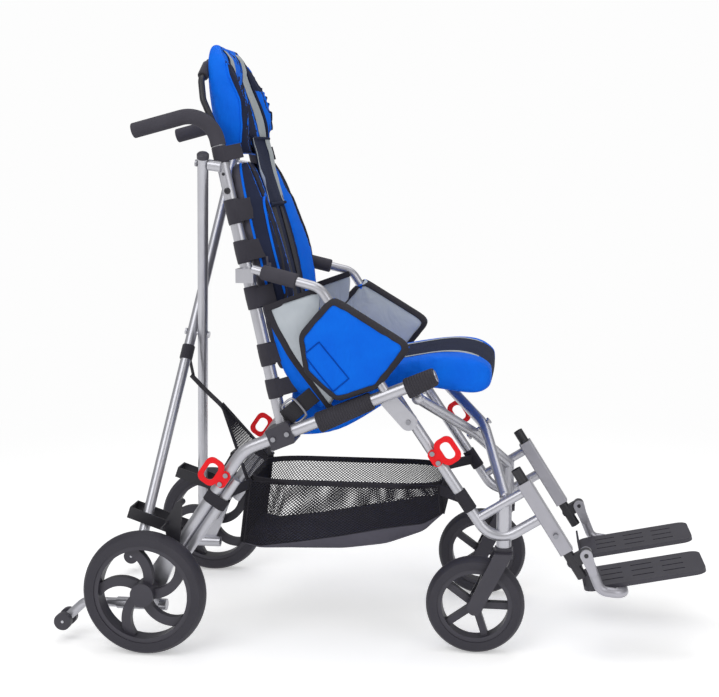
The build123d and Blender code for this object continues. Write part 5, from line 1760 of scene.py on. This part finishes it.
@dataclass
class Trim(Assembly):
    """Small parts on the tubes: caps on the braces, screws on the canes and the sleeve on the head rod."""

    cap_rise_mm: float = 20.0
    screws_mm: Line = ((498.0, 6.5), (532.0, 3.2))
    sleeve_run_mm: float = 34.0
    sleeve_mm: float = 42.0

    def build(self) -> None:
        """Make the caps, screws and sleeve."""
        site = self.stroller.site
        for name, line in BRACES.items():
            r = line.radius
            inner, outer = r + CLEARANCE_MM, r + 1.2
            profile = [(-7, inner), (-7, outer), (1, outer), (3.5, r - 1), (4.5, r - 5)]
            profile += [(4.5, 0.05), (0.3, 0.05), (0.3, inner)]
            way = (line.point(site, Side.LEFT, -self.cap_rise_mm), -line.direction(site, Side.LEFT))
            self.turn(f"{name}_cap", profile, way, NYLON, name, "dark_plastic")
        for side in Side:
            for number, (run, r) in enumerate(self.screws_mm):
                way = (CANE.point(site, side, run) + side.out * (CANE.radius * MM), side.out)
                profile = [(-3, 0.3), (-3, r), (1.4, r), (2.4, r - 1.2)]
                profile += [(2.4, r * 0.5), (0.8, r * 0.45), (0.8, 0.3)]
                name = f"{side.prefix}_cane_screw_{number}"
                self.turn(name, profile, way, BLACK_COAT, side.body, "black_metal")
        way = (HEAD_ROD.point(site, Side.RIGHT, self.sleeve_run_mm), HEAD_ROD.direction(site, Side.RIGHT))
        profile = HEAD_ROD.wrap(4.5, self.sleeve_mm, (2, 1))
        self.turn("head_rod_sleeve", profile, way, HOOK_LOOP, ROOT_BODY, "black_foam")


@dataclass
class Studio:
    """Plain pale floor, soft lamps and the camera at the photograph's viewing angle."""

    eye: tuple[float, float, float] = (0.3008, -2.6497, 0.9595)
    tilt_deg: float = 7.814
    pan_deg: float = 7.679
    lens_mm: float = 62.95
    sensor_mm: float = 36.0
    white: str = "fdfdfd"
    floor_white: str = "fbfbfb"
    floor_m: float = 40.0
    fade_m: Spot = (0.9, 2.6)
    ambient: float = 0.38
    aim: tuple[float, float, float] = (0.0, 0.0, 0.5)

    def build(self) -> None:
        """Make floor, lamps, world and camera."""
        self.floor()
        self.lamp("key", (-1.6, -3.0, 3.2), 3.0, 66.0)
        self.lamp("fill", (2.6, -2.4, 1.8), 2.5, 28.0)
        self.lamp("top", (0.2, 0.6, 3.6), 3.0, 38.0)
        self.world()
        self.camera()

    def floor(self) -> None:
        """Make a wide pale floor that turns to plain white far from the object."""
        shape = bmesh.new()
        bmesh.ops.create_circle(shape, cap_ends=True, segments=64, radius=self.floor_m)
        material = bpy.data.materials.new("pale_studio_floor")
        tree = bare_tree(material)
        white = {"Color": linear(self.white)}
        place = add_node(tree, "TexCoord").outputs["Object"]
        reach = add_node(tree, "VectorMath", {"operation": "LENGTH"}, {0: place}).outputs["Value"]
        fade = {"From Min": self.fade_m[0], "From Max": self.fade_m[1]}
        far = add_node(tree, "MapRange", fade, {"Value": reach}).outputs["Result"]
        rays = add_node(tree, "LightPath").outputs
        views = {0: rays["Is Camera Ray"], 1: rays["Is Glossy Ray"]}
        seen = add_node(tree, "Math", {"operation": "MAXIMUM"}, views).outputs["Value"]
        lift = add_node(tree, "Math", {"operation": "MULTIPLY", 1: self.ambient}, {0: seen}).outputs["Value"]
        matt = add_node(tree, "BsdfDiffuse", {"Color": linear(self.floor_white)}).outputs["BSDF"]
        pale = add_node(tree, "Emission", white, {"Strength": lift}).outputs["Emission"]
        near = add_node(tree, "AddShader", links={0: matt, 1: pale}).outputs["Shader"]
        glow = add_node(tree, "Emission", white | {"Strength": 1.0}).outputs["Emission"]
        share = add_node(tree, "Math", {"operation": "MULTIPLY"}, {0: far, 1: seen}).outputs["Value"]
        mixed = add_node(tree, "MixShader", links={0: share, 1: near, 2: glow}).outputs["Shader"]
        add_node(tree, "OutputMaterial", links={"Surface": mixed})
        make_piece("studio_floor", shape, [material])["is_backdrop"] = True

    def lamp(self, name: str, place: tuple[float, float, float], size: float, power: float) -> None:
        """Hang a soft square lamp that looks at the middle of the object.

        Args:
            name: Name of the lamp.
            place: Where it hangs.
            size: Side of its square.
            power: Its power in watts.
        """
        data = bpy.data.lights.new(name, "AREA")
        data.size = size
        data.energy = power
        lamp = bpy.data.objects.new(name, data)
        lamp.location = place
        lamp.rotation_euler = (Vector(self.aim) - Vector(place)).to_track_quat("-Z", "Y").to_euler()
        bpy.context.scene.collection.objects.link(lamp)

    def world(self) -> None:
        """Light the object from all round, with white behind it."""
        world = bpy.data.worlds.new("studio_world")
        bpy.context.scene.world = world
        tree = bare_tree(world)
        seen = add_node(tree, "LightPath").outputs["Is Camera Ray"]
        around = add_node(tree, "Background", {"Color": (1, 1, 1, 1), "Strength": self.ambient}).outputs[0]
        behind = add_node(tree, "Background", {"Color": linear(self.white), "Strength": 1.0}).outputs[0]
        mixed = add_node(tree, "MixShader", links={0: seen, 1: around, 2: behind}).outputs["Shader"]
        add_node(tree, "OutputWorld", links={"Surface": mixed})

    def camera(self) -> None:
        """Set the camera where the photograph was taken."""
        data = bpy.data.cameras.new("camera")
        data.lens = self.lens_mm
        data.sensor_width = self.sensor_mm
        camera = bpy.data.objects.new("camera", data)
        camera.location = self.eye
        camera.rotation_euler = (math.radians(90 - self.tilt_deg), 0.0, math.radians(self.pan_deg))
        bpy.context.scene.collection.objects.link(camera)
        bpy.context.scene.camera = camera


def main() -> None:
    """Build the sub-assemblies in order."""
    logging.basicConfig(level=logging.INFO, format="%(message)s")
    for leftover in list(bpy.data.objects):
        bpy.data.objects.remove(leftover)
    bpy.context.scene.view_settings.view_transform = "Standard"
    stroller = Stroller()
    middle = [kind(stroller) for kind in (BareFrame, SeatPad, BackPad, HeadPad, Basket, Trim)]
    pairs = [kind(stroller, side) for side in Side for kind in (Wing, CaneBands, RailSleeves, LapStrap)]
    for assembly in (*middle, *pairs, Studio()):
        assembly.build()
        LOG.info("built %s", type(assembly).__name__)
    boxes = {"cad": stroller.box, "visual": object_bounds()}
    {name: [list(corner) for corner in box] for name, box in boxes.items()}


if __name__ == "__main__":
    main()
